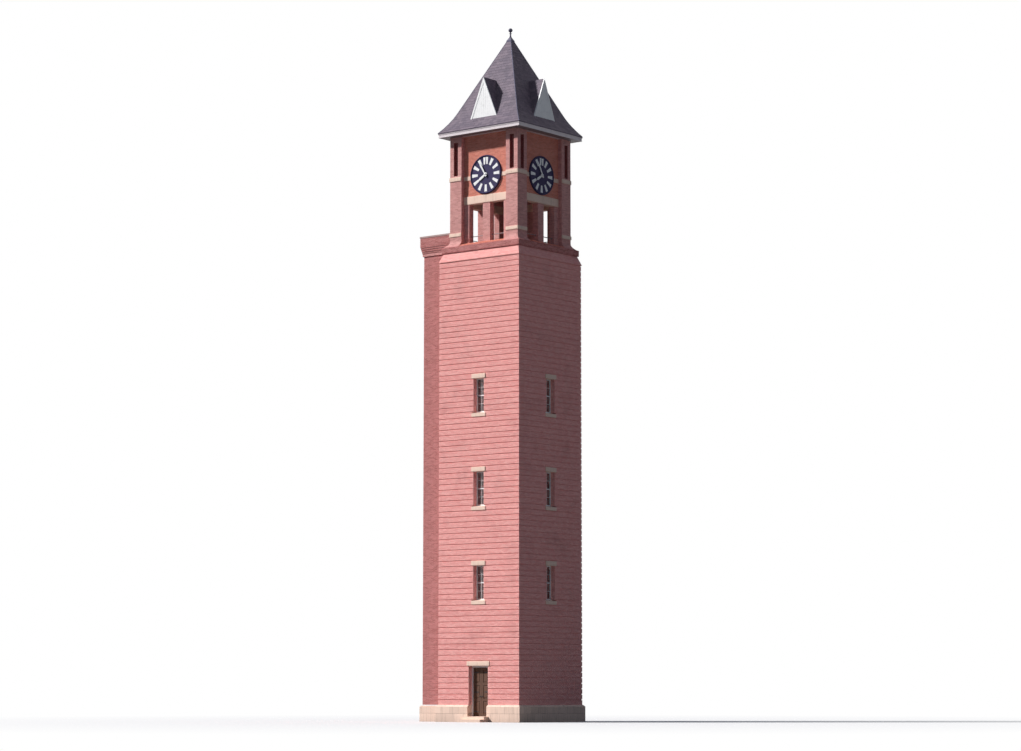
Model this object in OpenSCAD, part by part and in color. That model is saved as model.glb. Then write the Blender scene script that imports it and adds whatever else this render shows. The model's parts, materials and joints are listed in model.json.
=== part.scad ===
// Brick clock tower: a banded square shaft on a stone plinth, an open belfry with
// four clock dials above its openings, and a flared pyramid roof with a gablet on
// each side. A brick chimney stands against the left side of the shaft and belfry.
// The front faces -Y, the ground is z = 0 and the tower's axis is the z axis.

/* [Shaft] */
// Width of the square shaft over its raised brick bands
shaft_w = 5500; // [5200:50:6200]
// Thickness of the shaft's brick walls behind the bands
shaft_wall_t = 970; // [800:10:1000]
// Height of the top of the shaft's brickwork
shaft_top_z = 24800; // [24200:50:25600]
// Height of the stone plinth
plinth_h = 900; // [700:50:1200]
// How far the plinth stands out from the bands
plinth_out = 120; // [60:10:180]
// Height of the chamfer along the plinth's top edge
plinth_chamfer = 90; // [40:10:120]

/* [Brick bands] */
// Number of raised bands between the plinth and the coping
band_count = 81; // [70:1:95]
// Height of the sunk joint between two bands
band_joint = 50; // [30:5:80]
// How far the bands stand out from the wall
band_out = 30; // [20:5:50]

/* [Floors and windows] */
// Level of the ground floor
ground_floor_z = 300; // [150:50:450]
// Height from one floor to the next, counted in bands
storey_rows = 17; // [15:1:17]
// Thickness of a floor
floor_t = 250; // [180:10:320]
// How far the belfry's floor lies on the shaft's walls
floor_seat = 100; // [60:10:160]
// Width of a shaft window
window_w = 700; // [500:50:800]
// Height of a shaft window, counted in bands
window_rows = 6; // [4:1:7]
// Number of bands under the first window's foot
window_first_row = 19; // [18:1:20]
// How far a stone sill or lintel runs into the brick at each end
bearing = 120; // [80:10:150]
// Depth of a window's reveal, from the bands to the frame
reveal = 260; // [180:10:360]
// Width of the face of a window frame's bars
window_bar = 60; // [45:5:80]
// Thickness of a window frame
window_frame_t = 70; // [50:5:90]
// Thickness of the window glass
glass_t = 8; // [6:1:12]

/* [Door] */
// Width of the doorway
door_w = 1300; // [1100:50:1500]
// Number of bands between the plinth's top and the doorway's head
door_rows = 7; // [6:1:8]
// Width of the face of the door's frame
door_frame_w = 90; // [70:5:120]
// Thickness of the door leaf
door_leaf_t = 60; // [45:5:80]
// Gap between the door leaf and its frame
door_gap = 4; // [2:1:8]
// Tread of the doorstep
step_tread = 350; // [280:10:420]

/* [Belfry base] */
// Height of the coping course on top of the shaft
coping_h = 500; // [400:10:600]
// How far the coping stands out from the bands
coping_out = 30; // [20:5:60]
// Height of the coping's upright edge, under its slope
coping_edge = 40; // [20:5:80]
// How far the base course under the belfry stands out past the coping's top
base_out = 70; // [30:5:100]
// How far the base course stands out past the piers' feet
base_step = 70; // [40:5:100]
// Height of the base course
base_h = 350; // [260:10:420]
// Radius of the base course's edges
base_round = 45; // [20:5:70]

/* [Belfry] */
// Width of the belfry over its corner piers
belfry_w = 4700; // [4500:20:4840]
// Width of a corner pier
pier_w = 800; // [700:10:900]
// Thickness of the belfry's walls
belfry_wall_t = 600; // [520:10:640]
// Depth of the bays' recess behind the piers
bay_recess = 250; // [180:10:300]
// Height of the belfry from its base course to the eaves
belfry_h = 6100; // [5950:50:6600]
// How far a pier's foot spreads out
foot_out = 250; // [160:10:270]
// Height of a pier's spreading foot
foot_h = 350; // [260:10:450]
// Width of the slot in each pier's face
slot_w = 290; // [200:10:340]
// Depth of the slot
slot_d = 160; // [120:10:200]
// Height of the slot's foot above the string course
slot_up = 72; // [20:4:150]
// Height of the brick between a slot's head and the eaves
slot_down = 288; // [200:4:500]

/* [Belfry openings] */
// Height of the openings' brick sill
sill_h = 200; // [140:10:260]
// Height of the sill's upright nose, under its slope
sill_nose_h = 70; // [40:10:100]
// Height of an opening
opening_h = 2120; // [1900:20:2300]
// Width of the brick mullion between two openings
mullion_w = 500; // [420:10:600]
// Width of the brick jamb between an opening and the pier beside it
jamb_w = 350; // [250:10:420]
// Height of the stone lintel over the openings
lintel_h = 430; // [340:10:500]
// How far the stone courses stand out from the brick
stone_out = 35; // [20:5:60]
// Diameter of the guard rail's bar
rail_d = 45; // [30:5:60]
// Height of the guard rail above the sill
rail_up = 350; // [250:10:800]
// Height of the stone impost on a pier, above the pier's foot
impost_up = 230; // [120:10:340]
// Height of the impost
impost_h = 190; // [150:10:240]
// Height of the string course
string_h = 220; // [160:10:260]
// How far the string course's foot lies below the dials' centres
string_down = 200; // [100:10:300]

/* [Clock] */
// Diameter of a dial over its rim
dial_d = 2130; // [1900:10:2200]
// Space between the lintel and the dial
dial_gap = 35; // [15:5:200]
// Thickness of a dial
dial_t = 60; // [40:5:80]
// Width of a dial's rim
rim_w = 75; // [50:5:100]
// How far the rim stands out from the dial
rim_out = 45; // [20:5:55]
// Length of an hour mark
mark_l = 390; // [300:10:430]
// Width of an hour mark at its outer end
mark_w = 190; // [110:5:220]
// How far an hour mark stands out from the dial
mark_t = 10; // [5:1:15]
// Gap between the rim and the hour marks
mark_gap = 45; // [20:5:70]
// Length of a minute hand, from its centre to its point
minute_l = 850; // [750:10:890]
// Width of a minute hand at its widest
minute_w = 110; // [60:5:130]
// Length of an hour hand, from its centre to its point
hour_l = 600; // [480:10:640]
// Width of an hour hand at its widest
hour_w = 150; // [80:5:170]
// Thickness of a hand
hand_t = 10; // [6:1:14]
// Space between the marks, the hour hand and the minute hand
hand_space = 28; // [15:1:40]
// Radius of the minute hand's arbor
arbor_r = 16; // [10:1:20]
// Radius of the hour hand's pipe
pipe_r = 28; // [25:1:34]
// Running clearance round the arbor and the pipe
turn_gap = 0.3; // [0.2:0.1:0.8]
// Hour that the hands show
shown_hour = 7; // [0:1:11]
// Minute that the hands show
shown_minute = 55; // [0:1:59]

/* [Roof] */
// Overhang of the eaves from the piers
eaves_out = 450; // [380:10:520]
// Height of the eaves' fascia board
fascia_h = 200; // [150:10:260]
// Thickness of the fascia board
fascia_t = 60; // [40:5:80]
// Thickness of the boards under the eaves
soffit_t = 60; // [40:5:80]
// How far the slates run past the fascia
slate_drip = 30; // [15:5:50]
// Thickness of the slates at the eaves
slate_edge = 40; // [25:5:60]
// Height of the flared foot of the roof
flare_h = 1130; // [900:10:1300]
// How far the flared foot spreads past the straight slope
flare_out = 235; // [150:5:280]
// Height of the roof from the eaves to its cut top
roof_h = 5280; // [4800:20:5800]
// Half width of the roof's cut top, under the finial
roof_tip = 150; // [120:5:200]
// Level thickness of the roof's slopes
roof_t = 160; // [120:5:200]

/* [Gablets] */
// Width of a gablet at its foot, which the roof hides
gablet_w = 2050; // [1800:10:2200]
// Height of a gablet's foot above the eaves
gablet_up = 600; // [560:10:700]
// Height of a gablet
gablet_h = 2500; // [2100:10:2700]
// Thickness of a gablet's white board
gablet_board_t = 50; // [30:5:80]
// Thickness of a gablet's slated sides, measured level
gablet_side_t = 90; // [60:5:140]

/* [Finial] */
// Height of the finial above the roof's cut top
finial_h = 790; // [640:10:850]
// Radius of the finial's ball
ball_r = 115; // [80:5:140]
// Radius of the finial's stem
stem_r = 45; // [30:5:60]
// How far the finial's metal cap laps over the roof's cut top
cap_lap = 15; // [10:1:25]

/* [Chimney] */
// Length of the chimney, out from the shaft's bands
chimney_l = 1640; // [1300:10:1900]
// Depth of the chimney, from its front to its back
chimney_d = 760; // [700:10:900]
// How far the chimney's front stands back from the shaft's front
chimney_back = 640; // [560:10:720]
// Thickness of the chimney's walls
chimney_wall_t = 230; // [200:10:260]
// Height of the chimney's walls above the top of the shaft's brickwork
chimney_up = 600; // [560:10:700]
// Height of the chimney's pale band
chimney_band_h = 160; // [120:10:220]
// How far the chimney's band stands out
chimney_band_out = 60; // [40:5:80]
// Height of the chimney's corbelled head
chimney_head_h = 860; // [700:10:1000]
// How far the chimney's head stands out at its top
chimney_head_out = 155; // [130:5:190]
// How far the chimney's capstone stands out past its head
cap_out = 25; // [15:5:40]
// Thickness of the chimney's capstone
cap_t = 90; // [60:5:120]

/* [Hidden] */

FRONT = 0;
RIGHT = 1;
BACK = 2;
LEFT = 3;
SIDES = [FRONT, RIGHT, BACK, LEFT];
past = 10;

brick = [0.80, 0.50, 0.46];
brick_belfry = [0.76, 0.48, 0.42];
stone = [0.90, 0.83, 0.70];
slate = [0.55, 0.50, 0.54];
white_paint = [0.96, 0.95, 0.94];
dark_metal = [0.20, 0.21, 0.24];
timber = [0.45, 0.36, 0.28];
dial_black = [0.12, 0.12, 0.17];
pane = [0.55, 0.65, 0.70];

core_q = shaft_w / 2 - band_out;
inner_q = core_q - shaft_wall_t;
belfry_q = belfry_w / 2;
base_q = belfry_q + foot_out + base_step;
coping_q = shaft_w / 2 + coping_out;
coping_top_q = base_q - base_out;
coping_top_z = shaft_top_z + coping_h;
base_top_z = coping_top_z + base_h;
pier_in_q = belfry_q - pier_w;
chamber_q = belfry_q - belfry_wall_t;
bay_q = belfry_q - bay_recess;
eaves_z = base_top_z + belfry_h;
sill_top_z = base_top_z + sill_h;
lintel_z = sill_top_z + opening_h;
lintel_top_z = lintel_z + lintel_h;
dial_r = dial_d / 2;
dial_z = lintel_top_z + dial_gap + dial_r;
string_z = dial_z - string_down;
impost_z = base_top_z + foot_h + impost_up;
slot_z = string_z + string_h + slot_up;
slot_h = eaves_z - slot_down - slot_z;

// The raised bands are counted up from the plinth, each with a sunk joint over it. Floors, windows and
// the doorway keep to them, and a window's sill and lintel and the door's lintel are each one band high.
// These levels are kept to whole millimetres, so that the pieces meet exactly.
band_pitch = (shaft_top_z - plinth_h) / band_count;
band_h = round(band_pitch) - band_joint;
function band_foot(row) = round(plinth_h + row * band_pitch);

storeys = [1, 2, 3];
function floor_z(i) = round(ground_floor_z + i * storey_rows * band_pitch);
function window_row(i) = window_first_row + (i - 1) * storey_rows;
function window_z(i) = band_foot(window_row(i) - 1) + band_h;
function window_top(i) = band_foot(window_row(i) + window_rows);
function light_h(i) = (window_top(i) - window_z(i) - 3 * window_bar) / 2;
door_top_z = band_foot(door_rows);
frame_q = shaft_w / 2 - reveal;

eaves_q = belfry_q + eaves_out;
roof_foot_z = eaves_z + fascia_h;
roof_eave_q = eaves_q + slate_drip;
roof_top_z = roof_foot_z + roof_h;
// The straight slope of the roof, carried down to the eaves, ends at this half width.
straight_q = roof_eave_q - flare_out;
flare_steps = 4;
function straight_at(z) = straight_q + (roof_tip - straight_q) * z / roof_h;
function roof_q(z) = straight_at(z) + (z < flare_h ? flare_out * pow(1 - z / flare_h, 2) : 0);
roof_line = concat(
    [[roof_eave_q, 0]],
    [for (i = [0:flare_steps]) [roof_q(i * flare_h / flare_steps), slate_edge + i * flare_h / flare_steps]],
    [[roof_tip, roof_h]]);

chimney_out_x = shaft_w / 2 + chimney_l;
chimney_front_y = chimney_back - shaft_w / 2;
chimney_stack_top = shaft_top_z + chimney_up;
chimney_band_top = chimney_stack_top + chimney_band_h;
chimney_head_top = chimney_band_top + chimney_head_h;

hour_hand_at = dial_t + mark_t + hand_space;
minute_hand_at = hour_hand_at + hand_t + hand_space;
pipe_end = -0.3 * belfry_wall_t;
arbor_end = -0.4 * belfry_wall_t;
minute_angle = 6 * shown_minute;
hour_angle = 30 * shown_hour + shown_minute / 2;

// Turns a piece made for the front to one of the four sides.
module on_side(side) rotate([0, 0, 90 * side]) children();

// Puts a piece on a clock wall: x runs right, y up and z out from the bay.
module on_dial(side) on_side(side) translate([0, -bay_q, dial_z]) rotate([90, 0, 0]) children();

// A block with a square plan whose four sides follow the outline [half width, height].
module square_block(outline, z = 0) {
    both = concat(outline, [for (i = [len(outline) - 1:-1:0]) [-outline[i][0], outline[i][1]]]);
    reach = max([for (p = outline) p[0]]) + past;
    translate([0, 0, z]) intersection() {
        rotate([90, 0, 0]) linear_extrude(2 * reach, center = true) polygon(both);
        rotate([90, 0, 90]) linear_extrude(2 * reach, center = true) polygon(both);
    }
}

// A square well through a block.
module square_well(half, z0, z1) {
    translate([-half, -half, z0]) cube([2 * half, 2 * half, z1 - z0]);
}

// A box on the front side, centred on x = mid, between two distances from the axis.
module front_box(mid, w, q0, q1, z0, z1) {
    translate([mid - w / 2, -q1, z0]) cube([w, q1 - q0, z1 - z0]);
}

// What the chimney takes up, stood out by a margin on its three free sides.
module chimney_box(margin, x_in, z0, z1) {
    translate([-chimney_out_x - margin, chimney_front_y - margin, z0])
        cube([chimney_out_x + margin - x_in, chimney_d + 2 * margin, z1 - z0]);
}

// The chimney's flue.
module flue(z0, z1) {
    chimney_box(-chimney_wall_t, shaft_w / 2 + chimney_wall_t, z0 - past, z1 + past);
}

// All that the tower's outside closes in, from the coping up to the eaves.
module tower_outside() {
    square_block(coping_line, shaft_top_z);
    square_block(base_line, coping_top_z);
    square_block(pier_line, base_top_z);
    square_well(belfry_q + stone_out, impost_z, impost_z + impost_h);
}

// The room that one window takes in the front wall: its light, its lintel and its sill.
module window_room(i, q_out) {
    seat_w = window_w + 2 * bearing;
    front_box(0, window_w, inner_q - past, q_out, window_z(i), window_top(i));
    front_box(0, seat_w, frame_q, q_out, window_top(i), window_top(i) + band_h);
    front_box(0, seat_w, frame_q, q_out, window_z(i) - band_h, window_z(i));
}

// The room that the doorway and its lintel take.
module door_room(q_out) {
    front_box(0, door_w, inner_q - past, q_out, ground_floor_z, door_top_z);
    front_box(0, door_w + 2 * bearing, frame_q, q_out, door_top_z, door_top_z + band_h);
}

module plinth() {
    q = shaft_w / 2 + plinth_out;
    color(stone) difference() {
        union() {
            square_block([[q, 0], [q, plinth_h - plinth_chamfer], [q - plinth_chamfer, plinth_h]]);
            chimney_box(plinth_out, core_q, 0, plinth_h - plinth_chamfer);
            chimney_box(plinth_out - plinth_chamfer / 2, core_q, 0, plinth_h - plinth_chamfer / 2);
        }
        square_well(inner_q, -past, plinth_h + past);
        flue(plinth_h - floor_t, plinth_h);
        door_room(q + past);
    }
}

// One shaft wall. The front and back walls run to the corners, the side walls between them.
module shaft_wall(side) {
    half = (side == FRONT || side == BACK) ? core_q : inner_q;
    color(brick) on_side(side) difference() {
        front_box(0, 2 * half, inner_q, core_q, plinth_h, shaft_top_z);
        for (i = storeys) window_room(i, core_q + past);
        if (side == FRONT) door_room(core_q + past);
    }
}

module front_wall() shaft_wall(FRONT);
module right_wall() shaft_wall(RIGHT);
module back_wall() shaft_wall(BACK);
module left_wall() shaft_wall(LEFT);

function meets_window(row) = len([for (i = storeys)
    if (row >= window_row(i) - 1 && row <= window_row(i) + window_rows) i]) > 0;

// Each band is a ring of its own, cut where an opening or the chimney stands.
module brick_bands() {
    out_q = shaft_w / 2;
    color(brick) for (row = [0:band_count - 1]) difference() {
        translate([0, 0, band_foot(row)]) linear_extrude(band_h) difference() {
            square(2 * out_q, center = true);
            square(2 * core_q, center = true);
            translate([-out_q - past, chimney_front_y]) square([band_out + 2 * past, chimney_d]);
        }
        if (meets_window(row)) for (side = SIDES, i = storeys) on_side(side) window_room(i, out_q + past);
        if (row <= door_rows) door_room(out_q + past);
    }
}

// A solid floor on the ground, between the plinth's walls.
module ground_floor() {
    color(stone) square_well(inner_q, 0, ground_floor_z);
}

module storey_floors() {
    color(timber) for (i = storeys) square_well(inner_q, floor_z(i) - floor_t, floor_z(i));
}

module window_lintels() {
    color(stone) for (side = SIDES, i = storeys) on_side(side)
        front_box(0, window_w + 2 * bearing, frame_q, shaft_w / 2 + stone_out,
            window_top(i), window_top(i) + band_h);
}

module window_sills() {
    q = shaft_w / 2 + stone_out;
    color(stone) for (side = SIDES, i = storeys) on_side(side)
        translate([-window_w / 2 - bearing, 0, window_z(i)]) rotate([90, 0, 90])
            linear_extrude(window_w + 2 * bearing)
                polygon([[-frame_q, 0], [-frame_q, -band_h], [-q, -band_h], [-q, -band_h / 4]]);
}

// One window frame: an outer frame with a bar across it.
module window_frames() {
    color(white_paint) for (side = SIDES, i = storeys) on_side(side) difference() {
        front_box(0, window_w, frame_q - window_frame_t, frame_q, window_z(i), window_top(i));
        for (half = [0, 1]) window_light(i, half, frame_q - window_frame_t - past, frame_q + past);
    }
}

// One of a window's two lights, over and under its bar, between two distances from the axis.
module window_light(i, half, q0, q1) {
    z = window_z(i) + window_bar + half * (light_h(i) + window_bar);
    front_box(0, window_w - 2 * window_bar, q0, q1, z, z + light_h(i));
}

module window_glass() {
    mid_q = frame_q - window_frame_t / 2;
    color(pane) for (side = SIDES, i = storeys, half = [0, 1]) on_side(side)
        window_light(i, half, mid_q - glass_t / 2, mid_q + glass_t / 2);
}

module doorstep() {
    q = shaft_w / 2 + plinth_out;
    color(stone) union() {
        front_box(0, door_w + 2 * bearing, q, q + 2 * step_tread, 0, ground_floor_z / 2);
        front_box(0, door_w + 2 * bearing, q, q + step_tread, 0, ground_floor_z);
    }
}

module door_lintel() {
    color(stone) front_box(0, door_w + 2 * bearing, frame_q, shaft_w / 2 + stone_out,
        door_top_z, door_top_z + band_h);
}

module door_frame() {
    depth = 2 * door_leaf_t;
    color(white_paint) difference() {
        front_box(0, door_w, frame_q - depth, frame_q, ground_floor_z, door_top_z);
        front_box(0, door_w - 2 * door_frame_w, frame_q - depth - past, frame_q + past,
            ground_floor_z - past, door_top_z - door_frame_w);
    }
}

// Two leaves in one plane, closed, with sunk panels.
module door_leaf() {
    clear_w = door_w - 2 * door_frame_w;
    leaf_w = (clear_w - 3 * door_gap) / 2;
    leaf_h = door_top_z - ground_floor_z - door_frame_w - door_gap;
    panel_in = 110;
    panel_gap = 130;
    panel_h = (leaf_h - 2 * panel_in - 2 * panel_gap) / 3;
    q = frame_q - door_leaf_t / 2;
    color(timber) for (hand = [-1, 1]) difference() {
        front_box(hand * (leaf_w + door_gap) / 2, leaf_w, q - door_leaf_t, q,
            ground_floor_z, ground_floor_z + leaf_h);
        for (k = [0:2]) front_box(hand * (leaf_w + door_gap) / 2, leaf_w - 2 * panel_in,
            q - door_leaf_t / 3, q + past,
            ground_floor_z + panel_in + k * (panel_h + panel_gap),
            ground_floor_z + panel_in + k * (panel_h + panel_gap) + panel_h);
    }
}

// A steep sloping course that caps the shaft's walls.
coping_line = [[coping_q, 0], [coping_q, coping_edge], [coping_top_q, coping_h]];

module coping_course() {
    color(brick) difference() {
        square_block(coping_line, shaft_top_z);
        square_well(inner_q + floor_seat, shaft_top_z - past, coping_top_z + past);
    }
}

module belfry_floor() {
    color(timber) square_well(inner_q + floor_seat, shaft_top_z, shaft_top_z + floor_t);
}

// The base course overhangs the coping's top, with both its edges rounded.
round_steps = 4;
base_line = concat(
    [for (i = [round_steps:-1:0]) [base_q - base_round * (1 - cos(90 * i / round_steps)),
        base_round * (1 - sin(90 * i / round_steps))]],
    [for (i = [0:round_steps]) [base_q - base_round * (1 - cos(90 * i / round_steps)),
        base_h - base_round * (1 - sin(90 * i / round_steps))]]);

module base_course() {
    color(brick_belfry) difference() {
        square_block(base_line, coping_top_z);
        square_well(chamber_q, coping_top_z - past, base_top_z + past);
    }
}

// A pier's outer line: a foot that spreads in a curve, then the upright face.
foot_steps = 5;
pier_line = concat(
    [for (i = [0:foot_steps]) [belfry_q + foot_out * pow(1 - i / foot_steps, 2), i * foot_h / foot_steps]],
    [[belfry_q, belfry_h]]);

// The front right corner pier: two faces on a spreading foot, each with a tall slot.
module corner_pier(side) {
    outline = concat([[pier_in_q, 0]], pier_line, [[pier_in_q, belfry_h]]);
    reach = 2 * pier_w;
    color(brick_belfry) on_side(side) difference() {
        translate([0, 0, base_top_z]) intersection() {
            translate([0, -pier_in_q, 0]) rotate([90, 0, 0]) linear_extrude(reach) polygon(outline);
            translate([pier_in_q, 0, 0]) rotate([90, 0, 90]) linear_extrude(reach)
                polygon([for (p = outline) [-p[0], p[1]]]);
        }
        translate([pier_in_q - past, -chamber_q, base_top_z - past])
            cube([chamber_q - pier_in_q + past, chamber_q - pier_in_q + past, belfry_h + 2 * past]);
        pier_slot();
        rotate([0, 0, 90]) mirror([1, 0, 0]) pier_slot();
    }
}

// The slot in a pier's front face.
module pier_slot() {
    front_box(belfry_q - pier_w / 2, slot_w, belfry_q - slot_d, belfry_q + past, slot_z, slot_z + slot_h);
}

module pier_front_right() corner_pier(FRONT);
module pier_back_right() corner_pier(RIGHT);
module pier_back_left() corner_pier(BACK);
module pier_front_left() corner_pier(LEFT);

// Sloping sills between the feet of the piers, with their noses inside the feet's curve.
module belfry_sills() {
    nose_q = belfry_q + foot_out * pow(1 - sill_nose_h / foot_h, 2);
    color(brick_belfry) for (side = SIDES) on_side(side)
        translate([-pier_in_q, 0, base_top_z]) rotate([90, 0, 90]) linear_extrude(2 * pier_in_q)
            polygon([[-chamber_q, 0], [-nose_q, 0], [-nose_q, sill_nose_h], [-bay_q, sill_h],
                [-chamber_q, sill_h]]);
}

// Brick jambs on both sides of a bay, flush with its mullion.
module belfry_jambs() {
    color(brick_belfry) for (side = SIDES, hand = [-1, 1]) on_side(side)
        front_box(hand * (pier_in_q - jamb_w / 2), jamb_w, chamber_q, bay_q, sill_top_z, lintel_z);
}

module mullions() {
    color(brick_belfry) for (side = SIDES) on_side(side)
        front_box(0, mullion_w, chamber_q, bay_q, sill_top_z, lintel_z);
}

module belfry_lintels() {
    color(stone) for (side = SIDES) on_side(side)
        front_box(0, 2 * pier_in_q, chamber_q, bay_q + stone_out, lintel_z, lintel_top_z);
}

module clock_walls() {
    color(brick_belfry) for (side = SIDES) difference() {
        on_side(side) front_box(0, 2 * pier_in_q, chamber_q, bay_q, lintel_top_z, eaves_z);
        on_dial(side) translate([0, 0, -2 * belfry_wall_t])
            cylinder(h = 4 * belfry_wall_t, r = 2 * pipe_r, $fn = 48);
    }
}

// A stone course round the two outer faces of the front right pier.
module pier_course(z, h) {
    out_q = belfry_q + stone_out;
    translate([0, 0, z]) linear_extrude(h) difference() {
        translate([pier_in_q, -out_q]) square(out_q - pier_in_q);
        translate([pier_in_q - past, -belfry_q]) square(pier_w + past);
    }
}

module impost_stones() {
    color(stone) for (side = SIDES) on_side(side) pier_course(impost_z, impost_h);
}

// The string course crosses the piers and stops at each dial's rim.
module string_course() {
    color(stone) for (side = SIDES) {
        on_side(side) pier_course(string_z, string_h);
        difference() {
            on_side(side) for (hand = [-1, 1])
                front_box(hand * (pier_in_q + dial_r / 2) / 2, pier_in_q - dial_r / 2,
                    bay_q, bay_q + stone_out, string_z, string_z + string_h);
            on_dial(side) translate([0, 0, -past]) cylinder(h = 2 * bay_recess, r = dial_r, $fn = 96);
        }
    }
}

module guard_rails() {
    opening_w = pier_in_q - jamb_w - mullion_w / 2;
    color(dark_metal) for (side = SIDES, hand = [-1, 1]) on_side(side)
        translate([hand * (mullion_w + opening_w) / 2, -(bay_q + chamber_q) / 2, sill_top_z + rail_up])
            rotate([0, 90, 0]) cylinder(h = opening_w, d = rail_d, center = true, $fn = 24);
}

// A dial with a stepped rim and a hole for the hands' pipe.
module clock_dials() {
    hole = pipe_r + turn_gap;
    color(dial_black) for (side = SIDES) on_dial(side) rotate_extrude($fn = 96)
        polygon([[hole, 0], [dial_r, 0], [dial_r, dial_t + rim_out / 2],
            [dial_r - rim_w / 3, dial_t + rim_out], [dial_r - 2 * rim_w / 3, dial_t + rim_out],
            [dial_r - rim_w, dial_t], [hole, dial_t]]);
}

// A plain bar that narrows towards the dial's centre, with its outer end at the height of 0.
module hour_bar(w) {
    foot_w = 0.65 * w;
    linear_extrude(mark_t) polygon([[-w / 2, 0], [w / 2, 0], [foot_w / 2, -mark_l], [-foot_w / 2, -mark_l]]);
}

// Twelve bars on each dial, with a narrower pair at twelve.
module hour_marks() {
    top = dial_r - rim_w - mark_gap;
    pair_w = 0.8 * mark_w;
    color(white_paint) for (side = SIDES) on_dial(side) translate([0, 0, dial_t]) {
        for (i = [1:11]) rotate([0, 0, 30 * i]) translate([0, top]) hour_bar(mark_w);
        for (hand = [-1, 1]) translate([hand * 0.6 * pair_w, top]) hour_bar(pair_w);
    }
}

// The outline of a hand that points up, with a short tail to balance it.
module hand_outline(l, w) {
    tail = 0.16 * l;
    shoulder = 0.72 * l;
    union() {
        polygon([[-0.3 * w, 0], [-0.5 * w, shoulder], [0, l], [0.5 * w, shoulder], [0.3 * w, 0]]);
        polygon([[-0.3 * w, 0], [-0.55 * w, -tail], [0.55 * w, -tail], [0.3 * w, 0]]);
        circle(r = 0.7 * w, $fn = 48);
    }
}

module minute_hand(side) {
    color(white_paint) on_dial(side) rotate([0, 0, -minute_angle]) union() {
        translate([0, 0, minute_hand_at]) linear_extrude(hand_t) hand_outline(minute_l, minute_w);
        translate([0, 0, arbor_end])
            cylinder(h = minute_hand_at - arbor_end + hand_t, r = arbor_r, $fn = 48);
    }
}

module hour_hand(side) {
    color(white_paint) on_dial(side) rotate([0, 0, -hour_angle]) difference() {
        union() {
            translate([0, 0, hour_hand_at]) linear_extrude(hand_t) hand_outline(hour_l, hour_w);
            translate([0, 0, pipe_end]) cylinder(h = hour_hand_at - pipe_end + hand_t, r = pipe_r, $fn = 48);
        }
        translate([0, 0, pipe_end - past]) cylinder(h = hour_hand_at - pipe_end + hand_t + 2 * past,
            r = arbor_r + turn_gap, $fn = 48);
    }
}

module minute_hand_front() minute_hand(FRONT);
module minute_hand_right() minute_hand(RIGHT);
module minute_hand_back() minute_hand(BACK);
module minute_hand_left() minute_hand(LEFT);
module hour_hand_front() hour_hand(FRONT);
module hour_hand_right() hour_hand(RIGHT);
module hour_hand_back() hour_hand(BACK);
module hour_hand_left() hour_hand(LEFT);

// Boards on the wall heads, with the fascia standing along their outer edge.
module eaves() {
    color(white_paint) difference() {
        square_well(eaves_q, eaves_z, roof_foot_z);
        square_well(chamber_q, eaves_z - past, roof_foot_z + past);
        square_well(eaves_q - fascia_t, eaves_z + soffit_t, roof_foot_z + past);
    }
}

// One slope: the roof's outline run along its eave and mitred at the hips.
module roof_slope(side) {
    reach = roof_eave_q + past;
    inner = [for (i = [len(roof_line) - 1:-1:1])
        [max(roof_line[i][0] - roof_t, 0), roof_line[i][1] - slate_edge]];
    band = concat(roof_line, [[0, roof_h]], inner);
    color(slate) on_side(side) translate([0, 0, roof_foot_z]) intersection() {
        rotate([90, 0, 90]) linear_extrude(2 * reach, center = true)
            polygon([for (p = band) [-p[0], p[1]]]);
        linear_extrude(roof_h + past) polygon([[0, 0], [-reach, -reach], [reach, -reach]]);
    }
}

module roof_front() roof_slope(FRONT);
module roof_right() roof_slope(RIGHT);
module roof_back() roof_slope(BACK);
module roof_left() roof_slope(LEFT);

// All that the roof's outer surface closes in, run along the front.
module under_roof() {
    translate([0, 0, roof_foot_z]) rotate([90, 0, 90]) linear_extrude(2 * gablet_w, center = true)
        polygon(concat([for (p = roof_line) [-p[0], p[1]]], [[0, roof_h], [0, 0]]));
}

// A triangle that stands on the front, between two distances from the axis.
module gablet_prism(w, h, q0, q1) {
    translate([0, -q0, eaves_z + gablet_up]) rotate([90, 0, 0]) linear_extrude(q1 - q0)
        polygon([[-w / 2, 0], [w / 2, 0], [0, h]]);
}

gablet_in_w = gablet_w - 2 * gablet_side_t;
gablet_in_h = gablet_h * gablet_in_w / gablet_w;

// A white board closes each gablet and covers the ends of its slated sides.
module gablet_boards() {
    color(white_paint) for (side = SIDES) on_side(side) difference() {
        gablet_prism(gablet_w, gablet_h, belfry_q - gablet_board_t, belfry_q);
        under_roof();
    }
}

module gablet_roofs() {
    color(slate) for (side = SIDES) on_side(side) difference() {
        gablet_prism(gablet_w, gablet_h, 0, belfry_q - gablet_board_t);
        gablet_prism(gablet_in_w, gablet_in_h, -past, belfry_q);
        under_roof();
    }
}

// A turned metal finial on a square cap that covers the roof's cut top.
module finial() {
    cap_q = roof_tip + cap_lap;
    cap_h = 0.35 * finial_h;
    ball_z = finial_h - ball_r;
    color(dark_metal) translate([0, 0, roof_top_z]) union() {
        square_block([[cap_q, 0], [cap_q, 0.1 * finial_h], [stem_r, cap_h]]);
        rotate_extrude($fn = 64) polygon([[0, 0], [stem_r, 0], [stem_r, cap_h], [0.7 * stem_r, ball_z],
            [0, ball_z]]);
        translate([0, 0, ball_z]) sphere(r = ball_r, $fn = 64);
    }
}

// The chimney stands against the shaft's brickwork and fits round the coping over it.
module chimney_stack() {
    color(brick_belfry) difference() {
        chimney_box(0, coping_top_q, plinth_h, chimney_stack_top);
        square_well(core_q, 0, shaft_top_z);
        tower_outside();
        flue(plinth_h, chimney_stack_top);
    }
}

module chimney_band() {
    color(brick) difference() {
        chimney_box(chimney_band_out, belfry_q, chimney_stack_top, chimney_band_top);
        tower_outside();
        flue(chimney_stack_top, chimney_band_top);
    }
}

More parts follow.
